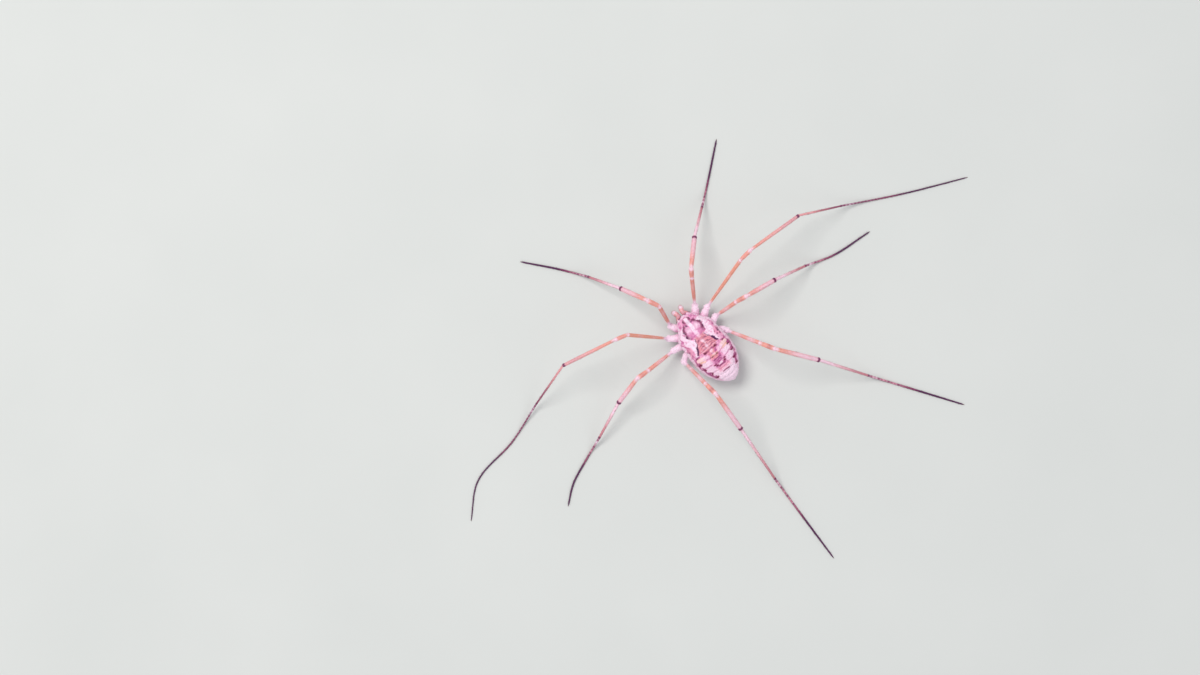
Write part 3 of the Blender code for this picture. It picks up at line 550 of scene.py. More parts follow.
LEGS = {
    "leg_1_right": {
        "coxa": (1.22, 2.64, 1.2),
        "joints": ((1.55, 3.1, 1.5), (2.8, 5.02, 3.9), (3.26, 5.67, 4.4), (5.27, 7.56, 2.6)),
        "tarsus": ((7.53, 9.17), (8.7, 10.04), (12.17, 12.78)),
    },
    "leg_2_right": {
        "coxa": (1.98, 2.05, 1.25),
        "joints": ((2.4, 2.21, 1.6), (7.01, 3.44, 5.4), (8.2, 3.54, 5.7), (13.37, 3.14, 3.5)),
        "tarsus": ((16.91, 1.34), (21.74, -1.31), (26.84, -3.77)),
    },
    "leg_3_right": {
        "coxa": (1.8, 0.9, 1.25),
        "joints": ((2.41, 1.05, 1.5), (4.43, 0.88, 3.9), (5.41, 0.69, 4.3), (8.24, 0.17, 3.0)),
        "tarsus": ((11.15, -0.64), (13.35, -1.43), (17.23, -1.93)),
    },
    "leg_4_right": {
        "coxa": (1.98, -0.15, 1.25),
        "joints": ((2.3, -0.68, 1.45), (3.68, -3.26, 5.0), (4.32, -4.42, 5.3), (6.67, -7.65, 3.3)),
        "tarsus": ((9.17, -11.56), (10.45, -13.52), (13.87, -18.77)),
    },
    "leg_1_left": {
        "coxa": (-1.15, 2.6, 1.2),
        "joints": ((-1.31, 3.09, 1.5), (-1.01, 4.92, 4.2), (-1.49, 5.98, 4.4), (-2.58, 8.26, 2.2)),
        "tarsus": ((-4.1, 10.9), (-5.3, 12.6), (-7.7, 15.6)),
    },
    "leg_2_left": {
        "coxa": (-1.86, 1.95, 1.25),
        "joints": ((-2.29, 2.33, 1.6), (-4.75, 4.8, 6.0), (-5.85, 5.14, 6.3), (-10.73, 6.32, 3.8)),
        "tarsus": ((-14.72, 5.24), (-18.29, 4.1), (-23.17, 3.25), (-25.55, 1.15)),
    },
    "leg_3_left": {
        "coxa": (-1.9, 1.0, 1.25),
        "joints": ((-2.76, 1.12, 1.5), (-5.42, 1.23, 3.4), (-6.52, 1.32, 3.6), (-9.15, 0.71, 2.1)),
        "tarsus": ((-12.43, -0.57), (-14.6, -1.33), (-16.8, -2.24), (-18.22, -3.32)),
    },
    "leg_4_left": {
        "coxa": (-1.96, 0.08, 1.25),
        "joints": ((-2.42, -0.4, 1.45), (-2.25, -2.91, 5.2), (-2.15, -4.11, 5.6), (-2.42, -7.88, 3.4)),
        "tarsus": ((-2.92, -13.23), (-3.15, -16.9), (-3.43, -21.7)),
    },
}
# A painted highlight: milk laid along the upper side of the legs, where light catches their tops
PAINTED_TOP_SHEEN = 0.16
ACROSS = np.array((1.0, 0.0, 0.0))  # the animal's right
limbs = {}  # for the coats: the axis, frame and radii of every piece of leg, palp and jaw


def unit(vectors):
    return vectors / np.linalg.norm(vectors, axis=-1, keepdims=True)


def smooth_route(points, count):
    """Evenly spread points on a smooth curve through the given ones."""
    points = np.array(points, float)
    steps = np.linalg.norm(np.diff(points, axis=0), axis=1)
    along = np.concatenate([[0], np.cumsum(steps)])
    return smooth(list(zip(along, points)), np.linspace(0, along[-1], count))


def limb(name, axis, radii, sides, marks, level_side=None, ridge=0.0, tall=1.0):
    """A closed tube with rounded ends round an axis, its section an oval with five faint ridges.

    The frame of each ring comes from the axis and one steady sideways direction. It is kept in limbs,
    with the strength of the marks along it, for what grows on it.
    """
    tangent = unit(np.gradient(axis, axis=0))
    if level_side is None:
        level_side = np.cross(axis[-1] - axis[0], (0, 0, 1))
    side = unit(level_side - (tangent @ level_side)[:, None] * tangent)
    over = np.cross(side, tangent)
    along = np.concatenate([[0], np.cumsum(np.linalg.norm(np.diff(axis, axis=0), axis=1))])
    limbs[name] = {
        "axis": axis, "side": side, "over": over * tall, "tangent": tangent, "radii": radii, "marks": marks,
        "share": along / along[-1], "length": along[-1],
    }
    reach = np.sqrt(1 - LIMB_CAP**2)
    caps = len(LIMB_CAP)
    rings_of = [
        np.concatenate([value[:1].repeat(caps, axis=0), value, value[-1:].repeat(caps, axis=0)])
        for value in (axis, side, over * tall, tangent, marks)
    ]
    centres, side, over, tangent, marks = rings_of
    size = np.concatenate([radii[0] * LIMB_CAP[::-1], radii, radii[-1] * LIMB_CAP])
    push = np.concatenate([-radii[0] * reach[::-1], np.zeros(len(radii)), radii[-1] * reach])
    turn = turns(sides)
    section = size[:, None] * (1 + ridge * np.cos(5 * (turn - np.pi / 2)))[None, :]
    rings = (
        (centres + push[:, None] * tangent)[:, None]
        + (section * np.cos(turn))[..., None] * side[:, None]
        + (section * np.sin(turn))[..., None] * over[:, None]
    )
    marks = np.repeat(marks[:, None], sides, axis=1)
    # Painted highlight: the upper side of each leg piece is paled as if lit from above
    upper = np.clip(np.sin(turn), 0, 1) ** 2
    marks[..., MASKS.index("milk")] += PAINTED_TOP_SHEEN * upper * marks[..., MASKS.index("leg")]
    pieces.append(flesh(name, rings, marks))


def marks_along(share, **strengths):
    """A table of marks, one row for each share, from the strength of each named mark."""
    rows = np.zeros((len(share), len(MASKS)))
    for name, strength in strengths.items():
        rows[:, MASKS.index(name)] = strength
    return rows


def joint_beads(share, length):
    """1 at each joint of a tarsus and 0 between, with the joints closer together towards the tip."""
    first, last = TARSAL_JOINTS
    count = length / (first - last) * math.log(first / last)
    passed = count * np.log(1 + (last / first - 1) * share) / math.log(last / first)
    return 0.5 + 0.5 * np.cos(2 * np.pi * passed)


# For the legs of each pair: rose, milk and dusk of the femur; dusk of the patella; milk of the tibia and
# dusk at its end; milk of the metatarsus at its foot and dusk at its end; dusk of the tarsus.
LEG_TONES = {
    1: ((0.25, 0.05, 0.28), 0.3, (0.36, 0.26), (0.56, 0.5), 0.62),
    2: ((0.2, 0.0, 0.0), 0.2, (0.2, 0.3), (0.15, 0.72), 0.88),
    3: ((0.3, 0.18, 0.0), 0.35, (0.38, 0.2), (0.58, 0.46), 0.6),
    4: ((0.35, 0.26, 0.0), 0.42, (0.42, 0.2), (0.55, 0.46), 0.56),
}
DARK_FROM = {1: 0.3, 2: 0.36, 3: 0.32, 4: 0.4}  # the share of the tarsus that stays paler than its tip
DARK_SPACING = 0.9  # between the darker rings on that part of it


def segment_marks(kind, share, number, length):
    """The marks along a leg: milky at the root, salmon, paler at the knee, dark at the far joints."""
    gone, to_go = share * length, (1 - share) * length
    tone = dict(zip(SEGMENTS, LEG_TONES[number]))[kind]
    if kind == "femur":
        foot, knee = ease(0.9, 0.1, gone), ease(0.34, 0.06, to_go)
        rose, milk, dusk = tone
        milk = np.maximum.reduce([0.9 * foot, 0.55 * knee, milk + 0.16 * np.sin(3.1 * gone + number)])
        return marks_along(share, leg=1, rose=rose, milk=milk, dusk=dusk + 0.3 * bell(to_go - 0.02, 0.03))
    if kind == "patella":
        ends = np.maximum(0.7 * ease(0.2, 0.04, gone), ease(0.4, 0.1, to_go))
        return marks_along(share, leg=1, rose=0.35, milk=0.55 * ends, dusk=tone * bell(to_go - 0.55, 0.25))
    if kind == "tibia":
        pale, dark = tone
        ring = ease(0.34, 0.2, to_go) * ease(0.02, 0.08, to_go)
        return marks_along(
            share,
            leg=1,
            rose=0.3 + (0.34 if number != 2 else 0.2) * share,
            milk=np.maximum(0.45 * ease(0.5, 0.1, gone), pale * ease(0.0, 0.6, share)) * (1 - ring),
            dusk=np.maximum.reduce([0.3 * bell(gone - 0.06, 0.05), ring, dark * ease(0.1, 0.8, share)]),
            border=0.48 * ring,
        )
    if kind == "metatarsus":
        pale, dark = tone
        ring = ease(0.24, 0.17, to_go) * ease(0.02, 0.05, to_go)
        return marks_along(
            share,
            leg=0.8,
            rose=0.5,
            milk=(pale * ease(1.1, 0.0, share) + 0.2 * bell(gone - 0.25 * length, 0.06)) * (1 - ring),
            dusk=np.maximum(dark * ease(-0.1, 0.9, share), ring),
            border=0.48 * ring,
        )
    bead = joint_beads(share, length)
    slow = 0.5 + 0.5 * np.cos(2 * np.pi * gone / DARK_SPACING)
    paler = ease(DARK_FROM[number] + 0.08, DARK_FROM[number] - 0.14, share)
    dark = ease(DARK_FROM[number] - 0.18, DARK_FROM[number] + 0.22, share)
    return marks_along(
        share,
        leg=0.5,
        rose=0.4,
        dusk=tone + (0.98 - tone) * dark + paler * (0.25 * slow**3 - 0.16 * bead),
        milk=0.3 * bead * paler + (0.5 if number == 3 else 0.25) * bell(share - 0.06, 0.035),
        border=np.clip(0.66 * dark - 0.1 * bead * (1 - dark) + 0.3 * slow**4 * paler, 0, 1),
    )


def leg_segment(leg_name, kind, first, last, number):
    """A long segment from joint to joint: it arches above its chord by BOW of its length.

    Its radius has a rim just before the far joint, which falls off to the joint's soft skin, and a pinch
    after the near joint.
    """
    length = np.linalg.norm(last - first)
    inner = np.linspace(JOINT_STEPS[-1], length - JOINT_STEPS[-1], int(length / RING_STEP[kind]))[1:-1]
    share = np.concatenate([JOINT_STEPS, inner, length - JOINT_STEPS[::-1]]) / length
    axis = first + share[:, None] * (last - first)
    axis[:, 2] += (PATELLA_BOW if kind == "patella" else BOW) * length * 4 * share * (1 - share)
    femur, patella, tibia, start, end, _, _ = GIRTHS[number]
    girth = {"femur": femur, "patella": patella, "tibia": tibia}.get(kind) or start + (end - start) * share
    rim, pinch = END_RIMS[kind]
    to_go, gone = length * (1 - share), length * share
    ends = rim * bell(to_go - 0.1, 0.07) - 0.2 * ease(0.07, 0.0, to_go) - pinch * ease(0.2, 0.03, gone)
    radii = girth * smooth(PROFILES[kind], share) * (1 + ends)
    if kind == "metatarsus":
        creases = sum(bell((share - at) * length, 0.03) for at in FALSE_JOINTS)
        radii = radii * (1 - 0.09 * creases)
    marks = segment_marks(kind, share, number, length)
    limb(f"{leg_name}_{kind}", axis, radii, SIDES[kind], marks, ridge=RIDGES.get(kind, 0.0))


def build_leg(leg_name, leg):
    """All of one leg, from the coxa's root to the tip of the tarsus, which sinks to the ground."""
    number = int(leg_name.split("_")[1])
    joints = [np.array(j, float) for j in leg["joints"]]
    hand = math.copysign(1, leg["coxa"][0])
    femur_way = unit(joints[1] - joints[0])
    hub = joints[0] - TROCHANTER_SET_BACK * femur_way
    root = np.array(COXA_ROOTS[number]) * (hand, 1, 1)
    axis = smooth_route([root, leg["coxa"], hub], COXA_RINGS)
    share = np.linspace(0, 1, COXA_RINGS)
    radii = smooth(COXA_GIRTHS, share)
    radii = radii * (1 + 0.03 * np.sin(11 * share + number)) * (0.9 if number == 4 else 1.0)
    axis[:, 2] += COXA_RAISED * ease(1.0, 0.6, share)
    pale = marks_along(share, milk=0.3 + 0.6 * ease(0.4, 0.85, share), flank=0.3 * bell(share - 0.6, 0.1))
    tall = COXA_TALL + (1 - COXA_TALL) * ease(0.6, 1.0, share)
    limb(f"{leg_name}_coxa", axis, radii, COXA_SIDES, pale, tall=tall[:, None])
    share = np.linspace(0, 1, TROCHANTER_RINGS)
    axis = hub + (share[:, None] - 0.4) * 0.5 * femur_way
    radii = TROCHANTER_RADIUS * smooth(TROCHANTER_GIRTHS, share)
    limb(f"{leg_name}_trochanter", axis, radii, COXA_SIDES, marks_along(share, milk=0.92, rose=0.1))
    ankle = np.array((*leg["tarsus"][0], TARSUS_LIFT))
    corners = joints + [ankle]
    for kind, first, last in zip(SEGMENTS, corners, corners[1:]):
        leg_segment(leg_name, kind, first, last, number)
    route = smooth_route(leg["tarsus"], 16)
    length = np.linalg.norm(np.diff(route, axis=0), axis=1).sum()
    count = int(length / RING_STEP["tarsus"])
    share = np.linspace(0, 1, count)
    start, end = GIRTHS[number][5:]
    radii = (start + (end - start) * share) * smooth(PROFILES["tarsus"], share)
    radii = radii * (1 - 0.13 * joint_beads(share, length) ** 4)
    lift = start + (end - start) * share + TARSUS_CLEAR
    up = lift + (TARSUS_LIFT - lift) * np.clip(1 - share / TARSUS_FALL, 0, 1) ** 2
    axis = np.column_stack([smooth_route(leg["tarsus"], count), up])
    marks = segment_marks("tarsus", share, number, length)
    limb(f"{leg_name}_tarsus", axis, radii, SIDES["tarsus"], marks)


for leg_name, leg in LEGS.items():
    build_leg(leg_name, leg)

# The underside
# Between the coxae lies the sternum, and behind it the plate over the genital opening reaches forward
# from the abdomen. In front, the soft skin round the mouth carries the jaws and feelers.
UNDERSIDE = {  # centre and half-sizes
    "sternum": ((0.0, 0.75, 1.2), (0.8, 1.35, 0.4)),
    "genital plate": ((0.0, -0.5, 1.05), (0.62, 1.15, 0.36)),
    "mouth skin": ((0.0, 2.3, 1.5), (0.85, 0.56, 0.46)),
}
BALL_RINGS, BALL_SIDES = 30, 60
for name, (centre, half_sizes) in UNDERSIDE.items():
    level = np.sin(np.linspace(-1.5, 1.5, BALL_RINGS))[:, None]
    turn = turns(BALL_SIDES)[None]
    wide = np.sqrt(1 - level**2)
    ball = np.stack([wide * np.cos(turn), wide * np.sin(turn), level + 0 * turn], axis=-1)
    rings = np.array(centre) + ball * half_sizes
    rings = rings + 0.012 * ripple(rings, 0.35, 31)[..., None] * ball
    marks = np.tile(marks_along(np.zeros(BALL_SIDES), milk=0.5, rose=0.15, flank=0.15), (BALL_RINGS, 1, 1))
    pieces.append(flesh(name, rings, marks))

# The pedipalps
# Two short feelers bent down in front of the head, salmon with milky ends. Each has a femur, a thick
# patella at the bend, a tibia and a slender tarsus that hangs to just above the ground.
PALP = {  # segment: its route and its radii
    "coxa": (((0.3, 2.1, 1.3), (0.5, 2.42, 1.34), (0.62, 2.72, 1.48)), (0.2, 0.21, 0.165)),
    "femur": (((0.6, 2.66, 1.47), (0.42, 2.94, 1.68), (0.26, 3.18, 1.9)), (0.15, 0.195, 0.185)),
    "patella": (((0.26, 3.18, 1.9), (0.29, 3.37, 1.97), (0.36, 3.55, 1.92)), (0.175, 0.2, 0.215)),
    "tibia": (((0.36, 3.57, 1.92), (0.385, 3.63, 1.55), (0.38, 3.6, 1.2)), (0.195, 0.2, 0.165)),
    "tarsus": (((0.38, 3.6, 1.2), (0.37, 3.46, 0.75), (0.33, 3.12, 0.3)), (0.13, 0.12, 0.06)),
}
PALP_RINGS = 24
for hand, side_name in ((-1, "left"), (1, "right")):
    for kind, (route, girth) in PALP.items():
        axis = smooth_route(np.array(route) * (hand, 1, 1), PALP_RINGS)
        share = np.linspace(0, 1, PALP_RINGS)
        radii = smooth(list(zip((0, 0.5, 1), girth)), share)
        radii = radii * (1 + 0.05 * bell(share - 0.93, 0.05))
        ends = np.maximum(ease(0.3, 0.0, share), ease(0.7, 1.0, share))
        # Darker at the coxa's end and the femur's root: partly the dark ring of the joint, partly painted
        # shade where the palp goes in under the front of the back
        browned_and_shaded = {"coxa": ease(0.5, 0.8, share), "femur": ease(0.75, 0.2, share)}
        dark = browned_and_shaded.get(kind, 0.25 * bell(share - 0.5, 0.2))
        milk = 0.36 * ends * (kind in ("patella", "tibia")) + (0.26 if kind != "tarsus" else 0.5)
        milk = milk * (1 - 0.8 * dark)
        marks = marks_along(share, leg=1, rose=0.5, milk=milk, dusk=0.5 * dark, bark=0.62 * dark)
        limb(f"pedipalp_{side_name}_{kind}", axis, radii, 22, marks, level_side=ACROSS)

# The jaws
# The chelicerae hang between the palps: a stout first segment under the front of the back, and a bulb
# below it that ends in a pincer. They are small in a female, and brown on their upper side: partly their
# own brown spots, partly painted shade for the dark gap between the palps.
JAW = (((0.3, 2.12, 1.18), (0.3, 2.72, 1.1), (0.3, 2.94, 0.92), (0.29, 2.86, 0.6)), (0.17, 0.2, 0.215, 0.16))
JAW_RINGS = 34
for hand, side_name in ((-1, "left"), (1, "right")):
    axis = smooth_route(np.array(JAW[0]) * (hand, 1, 1), JAW_RINGS)
    share = np.linspace(0, 1, JAW_RINGS)
    radii = smooth(list(zip((0, 0.42, 0.75, 1), JAW[1])), share)
    radii = radii * (1 - 0.1 * bell(share - 0.62, 0.03))
    # The brown band is partly the jaws' own brown and partly painted shade for the dark gap between the palps
    marks = marks_along(share, leg=0.5, rose=0.6, milk=0.5, bark=0.45 * bell(share - 0.55, 0.15))
    limb(f"chelicera_{side_name}", axis, radii, 26, marks, level_side=ACROSS)

# The skin
# All the pieces so far are one cuticle, so they are joined into one closed surface. Where two meet, the
# new points take their marks from their neighbours.
operands = bpy.data.collections.new("pieces of skin")
bpy.context.scene.collection.children.link(operands)
for piece in pieces:
    bpy.context.scene.collection.objects.unlink(piece)
    operands.objects.link(piece)
join = skin.modifiers.new("join", "BOOLEAN")
join.operation = "UNION"
join.operand_type = "COLLECTION"
join.collection = operands
join.solver = "MANIFOLD"
for piece in (skin, *pieces):
    set_floats(piece.data, "known", np.ones(len(piece.data.vertices)))
joined = bpy.data.meshes.new_from_object(skin.evaluated_get(bpy.context.evaluated_depsgraph_get()))
skin.modifiers.clear()
skin.data = joined
for piece in pieces:
    bpy.data.objects.remove(piece)
bpy.data.collections.remove(operands)


def column(mesh, name):
    """The values of one float attribute, a point at a time."""
    values = np.zeros(len(mesh.vertices), np.float32)
    mesh.attributes[name].data.foreach_get("value", values)
    return values


def fill_new_points(mesh, rounds=8):
    """Gives each point that the join made the mean of its neighbours' marks, spreading a step a round."""
    marks = np.stack([column(mesh, name) for name in MASKS], axis=1)
    weight = (column(mesh, "known") > 0.99).astype(float)
    marks[weight == 0] = 0
    edges = np.zeros(2 * len(mesh.edges), np.int32)
    mesh.edges.foreach_get("vertices", edges)
    both = np.concatenate([edges.reshape(-1, 2), edges.reshape(-1, 2)[:, ::-1]])
    for _ in range(rounds):
        total, count = np.zeros_like(marks), np.zeros(len(marks))
        held = weight[both[:, 1]] > 0
        np.add.at(total, both[held, 0], marks[both[held, 1]])
        np.add.at(count, both[held, 0], 1)
        new = (weight == 0) & (count > 0)
        marks[new] = total[new] / count[new, None]
        weight[new] = 1
    set_marks(mesh, marks)
    mesh.attributes.remove(mesh.attributes["known"])


SHARP_FROM = 48  # degrees between faces
fill_new_points(skin.data)
skin.data.shade_smooth()
skin.data.set_sharp_from_angle(angle=math.radians(SHARP_FROM))


def group_of(name, inputs, outputs):
    """A new shader group's tree, with its input end and its output end."""
    tree = bpy.data.node_groups.new(name, "ShaderNodeTree")
    for label, kind, value in inputs:
        tree.interface.new_socket(label, in_out="INPUT", socket_type=kind).default_value = value
    for label, kind in outputs:
        tree.interface.new_socket(label, in_out="OUTPUT", socket_type=kind)
    return tree, tree.nodes.new("NodeGroupInput"), tree.nodes.new("NodeGroupOutput")


def new_material(name):
    """A material, its node tree and its shader."""
    made = bpy.data.materials.new(name)
    made.use_nodes = True
    return made, made.node_tree, made.node_tree.nodes["Principled BSDF"]


def wire(tree, node, sockets):
    """Links or sets the node's sockets, given as (name or number, value)."""
    for key, value in dict(sockets).items():
        if isinstance(value, bpy.types.NodeSocket):
            tree.links.new(value, node.inputs[key])
        else:
            node.inputs[key].default_value = value
    return node


def add(tree, kind, sockets=(), **settings):
    """Adds a node, sets its properties, and then links or sets its sockets."""
    node = tree.nodes.new(kind)
    for key, value in settings.items():
        setattr(node, key, value)
    return wire(tree, node, sockets)


def object_place(tree):
    """The place in the object's own coordinates."""
    return add(tree, "ShaderNodeTexCoord").outputs["Object"]


def stored(tree, name):
    """The value of a float attribute of the mesh."""
    return add(tree, "ShaderNodeAttribute", attribute_name=name).outputs["Fac"]


def maths(tree, operation, *values):
    """The result of one step of arithmetic on numbers or sockets."""
    return add(tree, "ShaderNodeMath", enumerate(values), operation=operation).outputs[0]


def ranged(tree, value, low, high, to_low=0.0, to_high=1.0, way="LINEAR"):
    """The value carried from one range to another, and held there beyond the ends."""
    sockets = enumerate((value, low, high, to_low, to_high))
    return add(tree, "ShaderNodeMapRange", sockets, interpolation_type=way).outputs[0]


def noise(tree, place, scale, detail, roughness=0.5):
    """Cloudy noise with scale waves a metre, from 0 to 1."""
    sockets = {"Vector": place, "Scale": scale, "Detail": detail, "Roughness": roughness}
    return add(tree, "ShaderNodeTexNoise", sockets).outputs[0]


def dots(tree, place, scale, channel, size, least, edge, strength):
    """Dots of uneven size, one to a cell: strength inside, and 0 outside.

    A dot reaches size * random + least from its cell's middle and fades over the last edge of that.
    """
    cells = add(tree, "ShaderNodeTexVoronoi", {"Vector": place, "Scale": scale})
    random = add(tree, "ShaderNodeSeparateColor", {"Color": cells.outputs["Color"]}).outputs[channel]
    reach = maths(tree, "MULTIPLY_ADD", random, size, least)
    within = maths(tree, "SUBTRACT", reach, cells.outputs["Distance"])
    return ranged(tree, within, 0.0, edge, 0.0, strength, "SMOOTHSTEP")


def blend_colour(tree, factor, under, over):
    """The colour that runs from under to over as factor runs from 0 to 1."""
    node = add(tree, "ShaderNodeMix", data_type="RGBA", clamp_factor=True)
    for key, value in (("Factor_Float", factor), ("A_Color", under), ("B_Color", over)):
        socket = next(s for s in node.inputs if s.identifier == key)
        if isinstance(value, bpy.types.NodeSocket):
            tree.links.new(value, socket)
        else:
            socket.default_value = value
    return next(s for s in node.outputs if s.identifier == "Result_Color")


def rgb(red, green, blue):
    """A colour for a shader from its look on a screen, 0 to 255."""
    values = np.array((red, green, blue)) / 255
    return (*np.where(values > 0.04045, ((values + 0.055) / 1.055) ** 2.4, values / 12.92), 1.0)


GROUND, MOTTLE = rgb(248, 178, 214), rgb(218, 128, 180)
SOFT, CRISP = (0.1, 0.9), (0.36, 0.64)
CELL_NOISE, PATCH_NOISE, WAVE_NOISE = (9000, 3, 0.6), (3200, 2, 0.55), (5000, 4, 0.6)  # see noise()
ISLANDS = (4600, 0, 0.34, 0.0, 0.1, 0.5)  # pale dots on the dark parts, as dots() takes them
SPECKS = (6400, 1, 0.5, -0.16, 0.12, 0.45)  # dark dots everywhere
PIGMENTS = {  # laid over the ground in the order of MASKS, each between two strengths of its mark
    "saddle": (rgb(224, 138, 184), CRISP),
    "tan": (rgb(230, 142, 158), SOFT),
    "flank": (rgb(190, 88, 148), SOFT),
    "peach": (rgb(255, 202, 178), SOFT),
    "leg": (rgb(242, 160, 134), SOFT),
    "rose": (rgb(244, 162, 184), SOFT),
    "dusk": (rgb(136, 52, 96), SOFT),
    "milk": (rgb(255, 224, 243), SOFT),
    "bark": (rgb(118, 24, 62), CRISP),
    "border": (rgb(80, 2, 76), CRISP),
}


def cuticle_marks_group():
    """Lays each pigment over the last by its mark, with an edge that noise frays at the scale of cells."""
    tree, _, out = group_of("cuticle marks", (), (("Color", "NodeSocketColor"),))
    place = object_place(tree)
    patch = ranged(tree, noise(tree, place, *PATCH_NOISE), 0.42, 0.66, way="SMOOTHSTEP")
    colour = blend_colour(tree, patch, GROUND, MOTTLE)
    shake = maths(tree, "MULTIPLY_ADD", noise(tree, place, *CELL_NOISE), 0.5, -0.25)
    for name, (pigment, (none, full)) in PIGMENTS.items():
        frayed = maths(tree, "ADD", stored(tree, name), shake)
        colour = blend_colour(tree, ranged(tree, frayed, none, full, way="SMOOTHSTEP"), colour, pigment)
    dark = maths(tree, "MAXIMUM", stored(tree, "saddle"), stored(tree, "flank"))
    shown = maths(tree, "MULTIPLY", dots(tree, place, *ISLANDS), dark)
    colour = blend_colour(tree, shown, colour, PIGMENTS["milk"][0])
    colour = blend_colour(tree, dots(tree, place, *SPECKS), colour, PIGMENTS["dusk"][0])
    wire(tree, out, {"Color": colour})
    return tree


def cuticle_grain_group():
    """Fine granules over the cuticle, as a height and a painted shade that darkens the hollows between them
    and lightens their tops, with a size that each material sets.
    """
    outputs = (("Height", "NodeSocketFloat"), ("Shade", "NodeSocketFloat"))
    tree, start, out = group_of("cuticle grain", (("Scale", "NodeSocketFloat", 16000.0),), outputs)
    place = object_place(tree)
    sockets = {"Vector": place, "Scale": start.outputs["Scale"]}
    grains = add(tree, "ShaderNodeTexVoronoi", sockets, feature="SMOOTH_F1").outputs["Distance"]
    round_tops = ranged(tree, grains, 0.0, 0.7, 1.0, 0.0)
    height = maths(tree, "MULTIPLY_ADD", noise(tree, place, *WAVE_NOISE), 1.4, round_tops)
    wire(tree, out, {"Height": height, "Shade": ranged(tree, height, 0.5, 1.9, 0.76, 1.15)})
    return tree


cuticle_marks, cuticle_grain = cuticle_marks_group(), cuticle_grain_group()


def cuticle(name, roughness, bump_depth, grain_scale):
    """A cuticle material: the marks' colour darkened and lightened by the grain's painted shade, and the
    grain also roughens and bumps it.
    """
    made, tree, shader = new_material(name)
    colour = add(tree, "ShaderNodeGroup", node_tree=cuticle_marks).outputs["Color"]
    grain = add(tree, "ShaderNodeGroup", {"Scale": grain_scale}, node_tree=cuticle_grain)
    shade = grain.outputs["Shade"]
    # The grain's painted shade darkens the colour in the granules' hollows and lightens it on their tops
    shaded = add(tree, "ShaderNodeVectorMath", {0: colour, "Scale": shade}, operation="SCALE")
    rough = ranged(tree, shade, 0.82, 1.14, roughness + 0.1, roughness - 0.1)
    sockets = {"Strength": 0.5, "Distance": bump_depth * MM, "Height": grain.outputs["Height"]}
    wire(tree, shader, {
        "Base Color": shaded.outputs[0],
        "Roughness": maths(tree, "MULTIPLY_ADD", stored(tree, "leg"), -0.16, rough),
        "Normal": add(tree, "ShaderNodeBump", sockets).outputs[0],
        "Specular IOR Level": 0.45,
    })
    return made, tree, shader, shaded


skin.data.materials.clear()
skin.data.materials.append(cuticle("skin", 0.55, 0.02, 14000)[0])
skin.data.polygons.foreach_set("material_index", np.zeros(len(skin.data.polygons), np.int32))
skin_nodes = [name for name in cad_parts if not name.startswith("eye")]
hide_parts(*skin_nodes)
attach(skin, "root")

# The eyes
# Two black domes, smooth and wet-looking, set in the sides of the mound inside its raised rims. Each is
# a half ball that bulges a little, with a brown edge where it meets the rim.
eye_colours = (rgb(12, 4, 8), rgb(70, 26, 38))


def eye_material():
    """Near black and glossy, browner and duller at the edge."""
    made, tree, shader = new_material("eye")
    factor = maths(tree, "MULTIPLY", stored(tree, "edge"), noise(tree, object_place(tree), 20000, 2))
    wire(tree, shader, {
        "Base Color": blend_colour(tree, factor, *eye_colours),
        "Roughness": ranged(tree, factor, 0.0, 1.0, 0.07, 0.3),
        "Coat Weight": 0.3,
        "Coat Roughness": 0.04,
    })
    return made


lens_material = eye_material()
LENS_RINGS, LENS_SIDES = 26, 40
for hand, side_name in ((-1, "left"), (1, "right")):
    lean = np.linspace(0.03, 2.1, LENS_RINGS)[:, None]
    turn = turns(LENS_SIDES)[None]
    wide = np.sin(lean)
    ways = np.stack([np.cos(lean) + 0 * turn, wide * np.cos(turn), wide * np.sin(turn)], axis=-1)
    rings = (np.array(EYE_CENTRE) + EYE_RADIUS * ways * (0.95, 1.0, 1.0)) * (hand, 1, 1)
    edge = ease(0.9, 1.6, lean) + 0 * turn
    rows, faces = shell(np.concatenate([rings, edge[..., None]], axis=-1))
    lens = new_object(f"lens_{side_name}", rows[:, :3], faces)
    set_floats(lens.data, "edge", rows[:, 3])
    lens.data.shade_smooth()
    lens.data.materials.append(lens_material)
    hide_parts(f"eye_{side_name}")
    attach(lens, "root")

# The claws and pincers
# Hard, dark brown horn: one hooked claw at the tip of each leg and palp, and the two fingers of each
# jaw, a fixed one in front and a moving one behind it, crossing at their tips.
PINCERS = (
    (((0.35, 2.88, 0.66), (0.37, 2.87, 0.44), (0.27, 2.78, 0.22)), (0.085, 0.065, 0.02)),
    (((0.26, 2.78, 0.66), (0.22, 2.69, 0.44), (0.23, 2.73, 0.24)), (0.08, 0.06, 0.02)),
)
CLAW_LENGTH = 0.13
CLAW_RADIUS = 0.028
HORN_RINGS = 16


def horn(route, girth, sides=10):
    """Rings of a tapered hook along a smooth route, with its girth at root, middle and tip."""
    axis = smooth_route(route, HORN_RINGS)
    radii = smooth(list(zip((0, 0.5, 1), girth)), np.linspace(0, 1, HORN_RINGS))
    tangent = unit(np.gradient(axis, axis=0))
    side = unit(np.cross(tangent, (0.3, 0.5, 0.2)))
    over = np.cross(side, tangent)
    turn = turns(sides)
    spokes = np.cos(turn)[:, None] * side[:, None] + np.sin(turn)[:, None] * over[:, None]
    return axis[:, None] + radii[:, None, None] * spokes


def join_shells(name, parts):
    """One object from a list of (rows, faces), with the columns after the place as a float named height."""
    starts = np.cumsum([0] + [len(rows) for rows, _ in parts[:-1]])
    rows = np.vstack([rows for rows, _ in parts])
    faces = np.vstack([faces + start for (_, faces), start in zip(parts, starts)])
    made = new_object(name, rows[:, :3], faces)
    set_floats(made.data, "height", rows[:, 3])
    made.data.shade_smooth()
    return made


